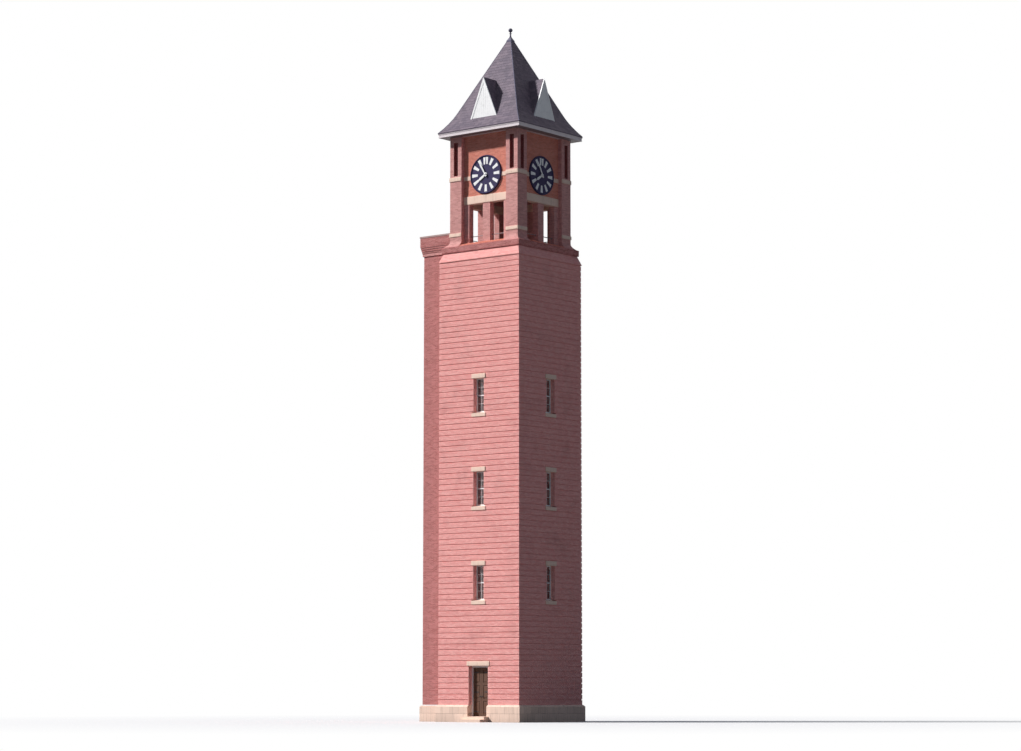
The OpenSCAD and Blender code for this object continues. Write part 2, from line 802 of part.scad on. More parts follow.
// A brick head that steps out in corbels to a plain top.
module chimney_head() {
    steps = 4;
    corbel_h = 0.5 * chimney_head_h / steps;
    color(brick_belfry) difference() {
        for (i = [1:steps]) chimney_box(chimney_band_out + i * (chimney_head_out - chimney_band_out) / steps,
            belfry_q, chimney_band_top + (i - 1) * corbel_h, chimney_head_top);
        tower_outside();
        flue(chimney_band_top, chimney_head_top);
    }
}

module chimney_cap() {
    color(stone) difference() {
        chimney_box(chimney_head_out + cap_out, belfry_q, chimney_head_top, chimney_head_top + cap_t);
        tower_outside();
        flue(chimney_head_top, chimney_head_top + cap_t);
    }
}

plinth();
front_wall();
right_wall();
back_wall();
left_wall();
brick_bands();
ground_floor();
storey_floors();
window_lintels();
window_sills();
window_frames();
window_glass();
doorstep();
door_lintel();
door_frame();
door_leaf();
coping_course();
belfry_floor();
base_course();
pier_front_right();
pier_back_right();
pier_back_left();
pier_front_left();
belfry_sills();
belfry_jambs();
mullions();
belfry_lintels();
clock_walls();
impost_stones();
string_course();
guard_rails();
clock_dials();
hour_marks();
minute_hand_front();
minute_hand_right();
minute_hand_back();
minute_hand_left();
hour_hand_front();
hour_hand_right();
hour_hand_back();
hour_hand_left();
eaves();
roof_front();
roof_right();
roof_back();
roof_left();
gablet_boards();
gablet_roofs();
finial();
chimney_stack();
chimney_band();
chimney_head();
chimney_cap();
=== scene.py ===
"""Dresses the clock tower's frame with its bricks, stones, slates, boards and finishes, and sets the stage.

Sizes are in metres and come from the frame. The front faces -Y and the tower's axis is the z axis. A wall's
face is given by its outward normal and by its distance from the axis along that normal, which is called q.
A place on it is (along, up), where along runs to the right as seen from outside.
"""

import json
import math
import random

import bmesh
import bpy
import numpy as np
from bpy.props import FloatProperty, FloatVectorProperty, PointerProperty
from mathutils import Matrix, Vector


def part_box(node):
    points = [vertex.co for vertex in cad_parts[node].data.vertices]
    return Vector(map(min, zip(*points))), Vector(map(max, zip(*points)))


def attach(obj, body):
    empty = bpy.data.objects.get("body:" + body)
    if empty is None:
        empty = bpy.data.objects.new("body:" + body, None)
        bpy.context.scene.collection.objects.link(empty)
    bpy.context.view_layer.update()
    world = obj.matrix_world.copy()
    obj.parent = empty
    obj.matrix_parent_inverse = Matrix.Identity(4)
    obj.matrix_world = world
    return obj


bl_info = {
    "name": "Clock tower",
    "version": (1, 0, 0),
    "blender": (4, 5, 0),
    "location": "View3D > Sidebar > Clock tower",
    "description": "Bricks, stones, slates, boards, dials and finishes for a clock tower",
    "category": "Object",
}

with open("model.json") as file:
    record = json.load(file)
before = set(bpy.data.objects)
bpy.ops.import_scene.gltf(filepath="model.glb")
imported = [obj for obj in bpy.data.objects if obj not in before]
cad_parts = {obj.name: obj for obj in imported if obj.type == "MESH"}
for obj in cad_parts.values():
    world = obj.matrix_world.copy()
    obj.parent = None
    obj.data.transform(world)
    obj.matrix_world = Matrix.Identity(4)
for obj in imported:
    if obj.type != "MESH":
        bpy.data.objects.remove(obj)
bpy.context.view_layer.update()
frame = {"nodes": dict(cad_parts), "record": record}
NODES = frame["nodes"]
UP = Vector((0, 0, 1))
SIDES = {
    "front": Vector((0, -1, 0)),
    "right": Vector((1, 0, 0)),
    "back": Vector((0, 1, 0)),
    "left": Vector((-1, 0, 0)),
}
HANDS = (-1, 1)

# Places this close are taken as one. The finer of the two parts the steps of rounded edges.
NEAR = 1e-3
TINY = 1e-4


def rightward(normal):
    """The direction along a wall, to the right as seen from outside."""
    return UP.cross(normal)


def spot(normal, q, along, up):
    """The point on a wall's face, q from the axis, at (along, up)."""
    return normal * q + rightward(normal) * along + UP * up


def rectangle(normal, q, start, end, foot, top):
    """The corners of an upright rectangle on a face, anticlockwise as seen from outside."""
    corners = ((start, foot), (end, foot), (end, top), (start, top))
    return [spot(normal, q, along, up) for along, up in corners]


def strip(normal, foot, top, foot_ends, top_ends):
    """The corners of a piece between two level lines, each (distance, height) with its (start, end)."""
    corners = [spot(normal, foot[0], along, foot[1]) for along in foot_ends]
    return corners + [spot(normal, top[0], along, top[1]) for along in reversed(top_ends)]


def held(pair, limits):
    """A piece's two ends, kept between two limits."""
    return [min(max(along, limits[0]), limits[1]) for along in pair]


def low(node):
    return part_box(node)[0]


def high(node):
    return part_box(node)[1]


def span(node):
    """The heights of a node's foot and top."""
    return low(node).z, high(node).z


def corners_of(node):
    return [vert.co for vert in NODES[node].data.vertices]


def solids(node):
    """The boxes of a node's separate solids, each as its lowest and highest corner, from the lowest up."""
    mesh = bmesh.new()
    mesh.from_mesh(NODES[node].data)
    bmesh.ops.remove_doubles(mesh, verts=mesh.verts, dist=1e-5)
    waiting = set(mesh.verts)
    boxes = []
    while waiting:
        group = [waiting.pop()]
        for vert in group:
            for edge in vert.link_edges:
                other = edge.other_vert(vert)
                if other in waiting:
                    waiting.remove(other)
                    group.append(other)
        places = np.array([vert.co for vert in group])
        boxes.append((Vector(places.min(0)), Vector(places.max(0))))
    mesh.free()
    return sorted(boxes, key=lambda box: box[0].zxy[:])


def front_solids(node):
    """The boxes of a node's solids on the tower's front, from the lowest up and from left to right."""
    return [box for box in solids(node) if -(box[0].y + box[1].y) > abs(box[0].x + box[1].x) + 0.1]


def levels(node):
    """All the heights at which a node has corners."""
    return sorted({round(corner.z, 4) for corner in corners_of(node)})


def outline(node):
    """The node's outer corner line, as (distance from the axis, height), from its foot up."""
    widest = {}
    for corner in corners_of(node):
        if abs(abs(corner.x) - abs(corner.y)) < NEAR:
            up = round(corner.z, 4)
            widest[up] = max(widest.get(up, 0), abs(corner.x))
    return [(q, up) for up, q in sorted(widest.items())]


def roof_outline():
    """The roof's outer corner line, without the corners of its underside."""
    line = outline("roof_front")
    return [(q, up) for q, up in line if not any(p > q + TINY and v > up + TINY for p, v in line)]


WALL_Q = high("front_wall").x
BAND_Q = high("brick_bands").x
PIER_Q = high("gablet_boards").x
PIER_IN = low("pier_front_right").x
PIER_LINE = outline("pier_front_right")
BAY_Q = high("mullions").x
CHAMBER_Q = -front_solids("mullions")[0][1].y
MULLION = front_solids("mullions")[0][1].x
JAMB_IN = min(box[0].x for box in front_solids("belfry_jambs") if box[0].x > 0)
BASE_Q = high("base_course").x
BASE_UPS = [up for q, up in outline("base_course") if q > BASE_Q - TINY]
BASE_FACE = (BASE_UPS[0], BASE_UPS[-1])
SILL_TOP = low("mullions").z
LINTEL_FOOT, LINTEL_TOP = span("belfry_lintels")
IMPOST = span("impost_stones")
STRING = span("string_course")
EAVES_FOOT, EAVES_TOP = span("eaves")
EAVES_Q = high("eaves").x
GABLET_FOOT, GABLET_TOP = span("gablet_boards")
GABLET_HALF = max(abs(box[1].x) for box in front_solids("gablet_boards"))
DIAL_Z = sum(span("clock_dials")) / 2
DIAL_R = high("clock_dials").z - DIAL_Z
ROOF_LINE = roof_outline()
SLOPE_LINE = ROOF_LINE[1:]


def slot_corners():
    """The slot in the front right pier: its start and end, its foot and top, and the depth of its back."""
    corners = corners_of("pier_front_right")
    rim = [p for p in corners if abs(p.y + PIER_Q) < NEAR and PIER_IN + 0.05 < p.x < PIER_Q - 0.05]
    start, end = min(p.x for p in rim), max(p.x for p in rim)
    foot, top = min(p.z for p in rim), max(p.z for p in rim)
    backs = [-p.y for p in corners if abs(p.x - start) < NEAR and abs(p.z - foot) < NEAR]
    return start, end, foot, top, min(backs)


SLOT = slot_corners()
RIM_BOLTS = 24
KNOB_Z = 1.35

# The shortest edge of a brick and the narrowest slate that are laid.
LEAST_EDGE = 0.002
LEAST_SLATE = 0.02

# How far a board's edges are bevelled.
BOARD_BEVEL = 0.001

# The lengths of dressed stones with their joints, and how far a stone's back is sunk into the wall.
LINTEL_STONE = 0.8
IMPOST_STONE = 0.45
STONE_SUNK = 0.004

# Lines of (radius, height) for turned pieces.
BOLT = [(0.011, 0), (0.011, 0.006), (0.006, 0.009)]
BOSS = [(0.066, 0), (0.066, 0.006), (0.05, 0.012), (0.034, 0.014), (0.02, 0.026), (0.006, 0.03)]
ROSE = [(0.035, 0), (0.035, 0.005), (0.014, 0.008)]
KNOB = ROSE + [(0.012, 0.035), (0.028, 0.045), (0.028, 0.06), (0.01, 0.068)]
FLANGE = [(0.05, 0), (0.05, 0.008), (0.03, 0.016)]
COLLAR = [(0.03, -0.02), (0.06, -0.015), (0.07, 0), (0.06, 0.015), (0.03, 0.02)]

# Lines of (distance out, height) for the mouldings, from the fascia's face at its top and at its foot.
CROWN = [(-0.01, -0.055), (0.012, -0.05), (0.022, -0.02), (0.026, 0), (-0.01, 0)]
BEAD = [(-0.01, 0), (0.012, 0), (0.012, 0.02), (-0.01, 0.03)]


def painted(red, green, blue):
    """A colour as it shows on a screen, 0 to 255, turned to the linear values that Blender uses."""
    shares = [value / 255 for value in (red, green, blue)]
    return tuple(s / 12.92 if s <= 0.04045 else ((s + 0.055) / 1.055) ** 2.4 for s in shares)


def length_setting(name, description, default):
    return FloatProperty(
        name=name, description=description, default=default, min=0, unit="LENGTH", precision=4
    )


def colour_setting(name, description, *shades):
    return FloatVectorProperty(
        name=name, description=description, default=painted(*shades), subtype="COLOR", min=0, max=1
    )


def angle_setting(name, description, degrees):
    return FloatProperty(name=name, description=description, default=math.radians(degrees), unit="ROTATION")


class BrickSizes(bpy.types.PropertyGroup):
    length: length_setting("Length", "Length of a brick with its joint", 0.211)
    course: length_setting("Course", "Height of a course with its joint", 0.061)
    joint: length_setting("Joint", "Width of a mortar joint", 0.009)
    proud: length_setting("Proud", "How far a brick's face stands out of its mortar", 0.006)
    worn: length_setting("Worn edge", "How far a brick's face draws in at its edges", 0.002)
    on_edge: length_setting("On edge", "Width of a brick on edge with its joint, on the sills", 0.075)
    rounded: length_setting("Rounded", "Depth of the rounded bricks behind their face", 0.026)


class StoneSizes(bpy.types.PropertyGroup):
    length: length_setting("Length", "Length of a block of the plinth with its joint", 0.62)
    joint: length_setting("Joint", "Width of a joint between stones", 0.008)
    proud: length_setting("Proud", "How far a stone's face stands out of its joint", 0.007)
    relief: length_setting("Relief", "Unevenness of a stone's face", 0.004)
    margin: length_setting("Margin", "Width of the straight margin round a stone's face", 0.012)
    facet: length_setting("Facet", "Size of the facets of a stone's uneven face", 0.07)


class SlateSizes(bpy.types.PropertyGroup):
    width: length_setting("Width", "Width of a slate", 0.255)
    gauge: length_setting("Gauge", "Part of a slate that shows, up the slope", 0.19)
    lap: length_setting("Lap", "Part of a slate that the next course hides", 0.07)
    thickness: length_setting("Thickness", "Thickness of a slate", 0.009)
    gap: length_setting("Gap", "Gap between two slates", 0.004)


class BoardSizes(bpy.types.PropertyGroup):
    width: length_setting("Width", "Width of a board", 0.14)
    gap: length_setting("Gap", "Width of the groove between two boards", 0.006)
    proud: length_setting("Proud", "Thickness of a board that shows", 0.012)
    barge: length_setting("Barge board", "Width of the boards along a gablet's edges", 0.11)
    soffit: length_setting("Soffit board", "Width of a board under the eaves", 0.11)


class TowerColours(bpy.types.PropertyGroup):
    shaft_pale: colour_setting("Pale shaft brick", "Lighter bricks of the shaft", 252, 186, 181)
    shaft_deep: colour_setting("Deep shaft brick", "Darker bricks of the shaft", 240, 162, 158)
    belfry_pale: colour_setting("Pale belfry brick", "Lighter bricks of the belfry", 224, 168, 164)
    belfry_deep: colour_setting("Deep belfry brick", "Darker bricks of the belfry", 200, 142, 138)
    base_pale: colour_setting("Pale base brick", "Lighter bricks of base and chimney", 200, 132, 130)
    base_deep: colour_setting("Deep base brick", "Darker bricks of base and chimney", 172, 104, 102)
    bay_pale: colour_setting("Pale bay brick", "Lighter bricks round the dials", 226, 146, 126)
    bay_deep: colour_setting("Deep bay brick", "Darker bricks round the dials", 206, 122, 104)
    # The slots' deep red is partly the bricks' own colour and partly painted shade of the deep recess.
    slot_brick: colour_setting("Slot brick", "Deep red bricks inside the piers' slots", 146, 62, 64)
    mortar: colour_setting("Mortar", "Joints of the brickwork", 226, 182, 174)
    stone: colour_setting("Stone", "Dressed sandstone", 246, 216, 198)
    # A darker sandstone than the dressed stones, for the chimney's cap.
    capstone: colour_setting("Capstone", "Weathered sandstone on the chimney", 184, 156, 152)
    slate_pale: colour_setting("Pale slate", "Lighter slates", 116, 103, 116)
    slate_deep: colour_setting("Deep slate", "Darker slates", 92, 82, 97)
    white: colour_setting("White paint", "Painted boards and frames", 240, 240, 241)
    fascia: colour_setting("Fascia paint", "Painted boards of the eaves", 216, 206, 210)
    # The soffit's dark paint is painted shade: it stands for the shade under the eaves.
    soffit: colour_setting("Soffit paint", "Painted boards under the eaves", 122, 108, 112)
    enamel: colour_setting("Dial enamel", "Ground of the dials", 62, 57, 89)
    iron: colour_setting("Iron", "Door hinges and knobs", 58, 56, 60)
    rail: colour_setting("Rail paint", "Guard rails across the belfry's openings", 152, 134, 136)
    lead: colour_setting("Lead", "Finial and hips", 78, 76, 96)
    oak: colour_setting("Oak", "Door leaves", 96, 62, 42)
    boards: colour_setting("Boards", "Floors", 140, 112, 86)


class StageSettings(bpy.types.PropertyGroup):
    azimuth: angle_setting("Camera azimuth", "Turn of the camera round the tower, from its front", 38.4)
    distance: length_setting("Camera distance", "Level distance from the tower's axis to the camera", 145.7)
    eye: length_setting("Eye height", "Height of the camera over the ground", 1.6)
    aim: length_setting("Aim height", "Height on the tower's axis that the camera looks at", 18.7)
    lens: FloatProperty(name="Lens", description="Focal length", default=95, unit="CAMERA")
    sun_side: angle_setting("Key light's side", "Turn of the key light to the left of the front", 50)
    sun_height: angle_setting("Key light's height", "Height of the key light over the horizon", 39)


SETTINGS = {
    "tower_bricks": BrickSizes,
    "tower_stones": StoneSizes,
    "tower_slates": SlateSizes,
    "tower_boards": BoardSizes,
    "tower_colours": TowerColours,
    "tower_stage": StageSettings,
}


def tone_faces(mesh, tones):
    """Gives each face of a mesh the tone that its finish reads."""
    mesh.attributes.new("tone", "FLOAT", "FACE").data.foreach_set("value", np.array(tones, np.float32))


class Slabs:
    """Thin solids laid on faces, such as bricks, slates and boards, that are joined as one mesh."""

    def __init__(self, seed):
        self.corners = []
        self.lifts = []
        self.insets = []
        self.tones = []
        self.chance = random.Random(seed)

    def add(self, corners, lift, inset=0.0):
        """Lays a slab on four points that run anticlockwise as seen from outside. The lift is its height
        over the face, for all four or for each, and the inset is how far its outer face draws in."""
        self.corners.append([tuple(corner) for corner in corners])
        self.lifts.append(lift if isinstance(lift, tuple) else (lift,) * 4)
        self.insets.append(inset)
        self.tones.append(self.chance.random())

    def mesh(self, name, sunk=0.002):
        """One mesh of closed solids, each sunk a little into the face that carries it. Each face keeps its
        slab's tone, and the map for baking gives each slab a cell of its own."""
        base = np.array(self.corners)
        count = len(base)
        edges = np.roll(base, -1, 1) - base
        edges /= np.maximum(np.linalg.norm(edges, axis=2, keepdims=True), 1e-9)
        normal = np.cross(base[:, 1] - base[:, 0], base[:, 2] - base[:, 0])
        normal += np.cross(base[:, 2] - base[:, 0], base[:, 3] - base[:, 0])
        normal /= np.linalg.norm(normal, axis=1, keepdims=True)
        inward = edges - np.roll(edges, 1, 1)
        lifts = np.array(self.lifts)[:, :, None]
        face = base + inward * np.array(self.insets)[:, None, None] + lifts * normal[:, None]
        places = np.concatenate([base - sunk * normal[:, None], face], 1).reshape(-1, 3)
        rims = [(i, (i + 1) % 4, 4 + (i + 1) % 4, 4 + i) for i in range(4)]
        sides = [(4, 5, 6, 7), *rims, (3, 2, 1, 0)]
        corners = (8 * np.arange(count)[:, None, None] + np.array(sides)).reshape(-1, 4)
        mesh = bpy.data.meshes.new(name)
        mesh.from_pydata(places.tolist(), [], corners.tolist())
        tone_faces(mesh, np.repeat(self.tones, len(sides)))
        self.unfold(mesh, count, sides)
        return mesh

    def unfold(self, mesh, count, sides):
        """Maps each slab into its cell: its edges in a frame round its outer face, its back in a corner."""
        across = math.ceil(math.sqrt(count))
        cell = np.stack([np.arange(count) % across, np.arange(count) // across], 1) / across
        square = np.array([(0, 0), (1, 0), (1, 1), (0, 1)])
        rings = np.concatenate([0.02 + 0.84 * square, 0.14 + 0.6 * square]) + (0, 0.06)
        back = (0.9, 0.1) + (0.07, 0.1) * square
        unfolded = np.concatenate([rings[np.array(sides[:5])], back[None]]).reshape(-1, 2)
        layer = mesh.uv_layers.new(name="OFBake")
        layer.data.foreach_set("uv", (cell[:, None] + unfolded / across).astype(np.float32).ravel())


class Solids:
    """Closed solids that are joined as one mesh."""

    def __init__(self, seed=0):
        self.places = []
        self.faces = []
        self.tones = []
        self.chance = random.Random(seed)

    def mesh(self, name):
        mesh = bpy.data.meshes.new(name)
        mesh.from_pydata(self.places, [], self.faces)
        return mesh


class Bars(Solids):
    """Long solids with one outline from end to end, such as rounded bricks and mouldings."""

    def add(self, normal, profile, start, end, mitred=(False, False)):
        """Runs a profile of (distance from the axis, height), clockwise as seen from its right end, from
        start to end along a face. A mitred end keeps to the corner where the next side takes over."""
        first = len(self.places)
        count = len(profile)
        for at, mitre in ((start, mitred[0]), (end, mitred[1])):
            for q, up in profile:
                self.places.append(spot(normal, q, math.copysign(q, at) if mitre else at, up))
        for i in range(count):
            j = (i + 1) % count
            self.faces.append((first + i, first + count + i, first + count + j, first + j))
        self.faces.append(tuple(range(first, first + count)))
        self.faces.append(tuple(range(first + 2 * count - 1, first + count - 1, -1)))
        self.tones += [self.chance.random()] * (count + 2)

    def mesh(self, name):
        mesh = super().mesh(name)
        tone_faces(mesh, self.tones)
        tidy = bmesh.new()
        tidy.from_mesh(mesh)
        bmesh.ops.recalc_face_normals(tidy, faces=tidy.faces)
        tidy.to_mesh(mesh)
        tidy.free()
        return mesh


class Turnings(Solids):
    """Round solids, such as rails' flanges, bosses and knobs."""

    def add(self, foot, axis, line, segments=24):
        """Turns a line of (radius, height), from its foot up, round an axis that starts at foot."""
        axis = axis.normalized()
        side = axis.orthogonal().normalized()
        other = axis.cross(side)
        first = len(self.places)
        for radius, height in line:
            for k in range(segments):
                angle = 2 * math.pi * k / segments
                out = side * math.cos(angle) + other * math.sin(angle)
                self.places.append(foot + axis * height + out * radius)
        last = first + (len(line) - 1) * segments
        for ring in range(first, last, segments):
            for k in range(segments):
                beside = (k + 1) % segments
                over = ring + segments
                self.faces.append((ring + k, ring + beside, over + beside, over + k))
        self.faces.append(tuple(range(first + segments - 1, first - 1, -1)))
        self.faces.append(tuple(range(last, last + segments)))


class Stones(Solids):
    """Dressed stones, each a closed block whose face is a little uneven inside a straight margin."""

    def face(self, normal, q, start, end, foot, top, length):
        """Faces a stretch of wall with one row of stones of about this length."""
        gap = bpy.context.scene.tower_stones.joint / 2
        count = max(1, round((end - start) / length))
        pitch = (end - start) / count
        for k in range(count):
            a = start + k * pitch + (gap if k else 0)
            b = start + (k + 1) * pitch - (gap if k < count - 1 else 0)
            self.add(normal, q, self.steps(a, b), self.steps(foot + gap, top - gap))

    def steps(self, start, end):
        """Places along a stone's face: its ends, its margins and its facets' corners."""
        sizes = bpy.context.scene.tower_stones
        count = max(3, round((end - start) / sizes.facet))
        inner = [start + (end - start) * i / count for i in range(1, count)]
        return [start, start + sizes.margin, *inner, end - sizes.margin, end]

    def add(self, normal, q, ends, ups):
        """Adds a stone with its back, on a grid of places along and up a face."""
        sizes = bpy.context.scene.tower_stones
        first = len(self.places)
        wide, tall = len(ends), len(ups)
        for j, up in enumerate(ups):
            for i, along in enumerate(ends):
                lift = 0 if i in (0, wide - 1) or j in (0, tall - 1) else sizes.proud
                if 1 < i < wide - 2 and 1 < j < tall - 2:
                    lift += self.chance.uniform(0, sizes.relief)
                self.places.append(spot(normal, q + lift, along, up))
        grid = first + np.arange(wide * tall).reshape(tall, wide)
        quads = np.stack([grid[:-1, :-1], grid[:-1, 1:], grid[1:, 1:], grid[1:, :-1]], 2)
        self.faces += quads.reshape(-1, 4).tolist()
        rim = [*grid[0], *grid[1:, -1], *grid[-1, -2::-1], *grid[-2:0:-1, 0]]
        back = len(self.places)
        self.places += [self.places[corner] - normal * STONE_SUNK for corner in rim]
        for k in range(len(rim)):
            other = (k + 1) % len(rim)
            self.faces.append((rim[other], rim[k], back + k, back + other))
        self.faces.append(tuple(range(back + len(rim) - 1, back - 1, -1)))


def linked(name, data):
    """A new object that is linked to the scene."""
    made = bpy.data.objects.new(name, data)
    bpy.context.scene.collection.objects.link(made)
    return made


def place(mesh, finish, body="tower", smooth=False):
    """Puts a mesh in the scene with its finish, on the body that it rides with."""
    mesh.validate()
    mesh.materials.append(finish_of(finish))
    if smooth:
        mesh.shade_smooth()
    piece = linked(mesh.name, mesh)
    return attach(piece, body)


def bricks_in_row(start, end, row, gaps):
    """The bricks of one course, as (start, end), in running bond between two ends and round the gaps. A
    piece shorter than a quarter of a course's height is left out."""
    sizes = bpy.context.scene.tower_bricks
    count = max(1, round((end - start) / sizes.length - 0.5)) + 0.5
    module = (end - start + sizes.joint) / count
    first = start if row % 2 == 0 else start - module / 2
    found = []
    for k in range(math.ceil(count) + 1):
        pieces = [(max(start, first + k * module), min(end, first + (k + 1) * module - sizes.joint))]
        for gap_start, gap_end in gaps:
            cut = []
            for a, b in pieces:
                if gap_end <= a or gap_start >= b:
                    cut.append((a, b))
                else:
                    cut += [(a, gap_start), (gap_end, b)]
            pieces = cut
        found += [(a, b) for a, b in pieces if b - a > 0.25 * sizes.course]
    return found


def lay_wall(slabs, normal, q, start, end, foot, top, holes=(), corners=False):
    """Lays courses on an upright face, between start and end along it, from foot to top. A hole is a
    rectangle (start, end, foot, top). At corners, every other course runs past to cover the ends of the
    next side's bricks, and on that side the courses between do."""
    sizes = bpy.context.scene.tower_bricks
    count = max(1, round((top - foot) / sizes.course))
    pitch = (top - foot) / count
    for row in range(count):
        under = foot + row * pitch + sizes.joint / 2
        over = foot + (row + 1) * pitch - sizes.joint / 2
        gaps = [(a - sizes.joint, b + sizes.joint) for a, b, z0, z1 in holes if z0 < over and z1 > under]
        past = sizes.proud if corners and (row + abs(normal.x)) % 2 == 0 else 0
        for a, b in bricks_in_row(start - past, end + past, row, gaps):
            slabs.add(rectangle(normal, q, a, b, under, over), sizes.proud, sizes.worn)


def lay_sides(*layers):
    """Makes the pieces that all four sides have, each given as its kind of solids, its name, its first
    seed, its finish, its slot, which is not used, and the functions that lay it."""
    for index, (side, normal) in enumerate(SIDES.items()):
        for kind, name, seed, finish, slot, *steps in layers:
            laid = kind(seed + index)
            for step in steps:
                step(laid, normal)
            place(laid.mesh(f"{side}_{name}"), finish)


def lay_cheek(slabs, normal, way, at, near, far, foot, top):
    """Lays a face that looks along the wall, to the right where way is 1 and to the left where it is -1."""
    start, end = sorted((-way * near, -way * far))
    lay_wall(slabs, rightward(normal) * way, way * at, start, end, foot, top)


def lay_slope(slabs, normal, foot, top, foot_ends, top_ends):
    """Lays courses on a sloping face between two level lines, each given as (distance, height), whose
    ends are given as (start, end) along the face. Slivers at the ends are left out."""
    sizes = bpy.context.scene.tower_bricks
    count = max(1, round(math.dist(foot, top) / sizes.course))
    half_joint = 0.5 * sizes.joint / sizes.course
    for row in range(count):
        shares = [(row + half_joint) / count, (row + 1 - half_joint) / count]
        lines = [[f + (t - f) * share for f, t in zip(foot, top)] for share in shares]
        ends = [[f + (t - f) * share for f, t in zip(foot_ends, top_ends)] for share in shares]
        start = min(ends[0][0], ends[1][0])
        end = max(ends[0][1], ends[1][1])
        for a, b in bricks_in_row(start, end, row, ()):
            corners = strip(normal, *lines, held((a, b), ends[0]), held((a, b), ends[1]))
            if min((corners[1] - corners[0]).length, (corners[2] - corners[3]).length) > LEAST_EDGE:
                slabs.add(corners, sizes.proud, sizes.worn)


def operator(operation):
    """The way that a Value answers to one of Python's operators, with a Math node."""
    return lambda value, *others: value.math(operation, *others)


class Value:
    """A node's output, that is added, scaled and compared in plain Python, one Math node at a time."""

    def __init__(self, nodes, socket):
        self.nodes = nodes
        self.socket = socket

    def math(self, operation, *others, clamp=False):
        sockets = dict(enumerate((self, *others)))
        return self.nodes.node("ShaderNodeMath", {"operation": operation, "use_clamp": clamp}, sockets)

    __add__ = __radd__ = operator("ADD")
    __sub__ = operator("SUBTRACT")
    __mul__ = __rmul__ = operator("MULTIPLY")
    __truediv__ = operator("DIVIDE")
    __gt__ = operator("GREATER_THAN")
    __abs__ = operator("ABSOLUTE")

    def __rsub__(self, other):
        return self * -1 + other

    def clamped(self):
        return self.math("ADD", 0, clamp=True)

    def between(self, start, end):
        """0 under start and 1 over end, with a straight rise between them."""
        return ((self - start) / (end - start)).clamped()


def rgba(colour):
    """A plain colour with the fourth number that its socket asks for. A node's colour stays as it is."""
    return colour if isinstance(colour, Value) else (*colour, 1)


class Nodes:
    """The shader nodes of a material or a world while they are made."""

    def __init__(self, owner):
        owner.use_nodes = True
        self.tree = owner.node_tree
        self.tree.nodes.clear()

    def fill(self, socket, value):
        """Links a socket to a node's output, or gives it a plain value."""
        if isinstance(value, Value):
            self.tree.links.new(value.socket, socket)
        else:
            socket.default_value = value

    def add(self, kind, settings=None, sockets=None):
        """Adds a node: its settings first, then its sockets' values or links."""
        made = self.tree.nodes.new(kind)
        for name, value in (settings or {}).items():
            setattr(made, name, value)
        for key, value in (sockets or {}).items():
            self.fill(made.inputs[key], value)
        return made

    def node(self, kind, settings=None, sockets=None, output=0):
        """Adds a node and gives one of its outputs."""
        return Value(self, self.add(kind, settings, sockets).outputs[output])

    def mix_shaders(self, share, first, second):
        return self.node("ShaderNodeMixShader", {}, {0: share, 1: first, 2: second})

    def rays(self, *kinds):
        """1 for rays of any of these kinds and 0 for all others."""
        path = self.add("ShaderNodeLightPath")
        return sum(Value(self, path.outputs[f"Is {kind} Ray"]) for kind in kinds).clamped()


class Finish(Nodes):
    """A procedural material while it is made."""

    def __init__(self, name):
        self.material = bpy.data.materials.new(name)
        super().__init__(self.material)
        self.shader = self.add("ShaderNodeBsdfPrincipled")
        self.output = self.add("ShaderNodeOutputMaterial")
        self.tree.links.new(self.shader.outputs[0], self.output.inputs[0])

    def split(self, vector):
        return [self.node("ShaderNodeSeparateXYZ", {}, {0: vector}, axis) for axis in range(3)]

    def point(self, *parts):
        return self.node("ShaderNodeCombineXYZ", {}, dict(enumerate(parts)))

    def places(self):
        """The place on the piece as three numbers, which move with the piece."""
        return self.split(self.node("ShaderNodeTexCoord", output=3))

    def facing(self):
        """How far the surface faces along each axis, to either side."""
        return [abs(part) for part in self.split(self.node("ShaderNodeNewGeometry", output=1))]

    def noise(self, scale, detail=3, vector=None):
        """Cloudy noise from 0 to 1, with about this many clouds a metre."""
        where = vector or self.node("ShaderNodeTexCoord", output=3)
        return self.node("ShaderNodeTexNoise", {}, {"Vector": where, "Scale": scale, "Detail": detail})

    def streaks(self, scales, detail=3):
        """Cloudy noise that is drawn out, with its own number of clouds a metre along each axis."""
        parts = [part * scale for part, scale in zip(self.places(), scales)]
        return self.noise(1.0, detail, self.point(*parts))

    def tone(self):
        """The slab's own share, from 0 to 1."""
        return self.node("ShaderNodeAttribute", {"attribute_name": "tone"}, output=2)

    def blend(self, share, first, second, way="MIX"):
        """Mixes two colours."""
        sockets = {0: share, 6: rgba(first), 7: rgba(second)}
        return self.node("ShaderNodeMix", {"data_type": "RGBA", "blend_type": way}, sockets, 2)

    def shaded(self, colour, *marks):
        """Darkens a colour by marks, each given as its noise, where it starts and is full, and its depth."""
        for noise, start, full, depth in marks:
            colour = self.blend(noise.between(start, full), colour, (1 - depth,) * 3, "MULTIPLY")
        return colour

    def surface(self, colour, roughness, relief=None, deep=None, sheen=0.5, **plain):
        """Sets the finish: its colour and roughness, its relief and how deep that is, and even values."""
        sockets = {"Base Color": rgba(colour), "Roughness": roughness, "Specular IOR Level": sheen, **plain}
        if relief is not None:
            bump = {"Height": relief, "Distance": deep, "Strength": 1.0}
            sockets["Normal"] = self.node("ShaderNodeBump", {}, bump)
        for key, value in sockets.items():
            self.fill(self.shader.inputs[key], value)


def brick_skin(finish, pale, deep=None):
    """Fired brick: each brick has its own tone, with small pits and patches of soot."""
    soot = finish.noise(0.9, 4)
    cloud = finish.noise(14)
    pits = finish.noise(160)
    colour = finish.blend(finish.tone(), deep or [0.7 * part for part in pale], pale)
    marks = ((cloud, 0.55, 0.85, 0.16), (soot, 0.54, 0.78, 0.14), (pits, 0.58, 0.78, 0.12))
    colour = finish.shaded(colour, *marks)
    finish.surface(colour, 0.82 + 0.12 * cloud, pits + 0.5 * cloud, 0.0015, sheen=0.25)


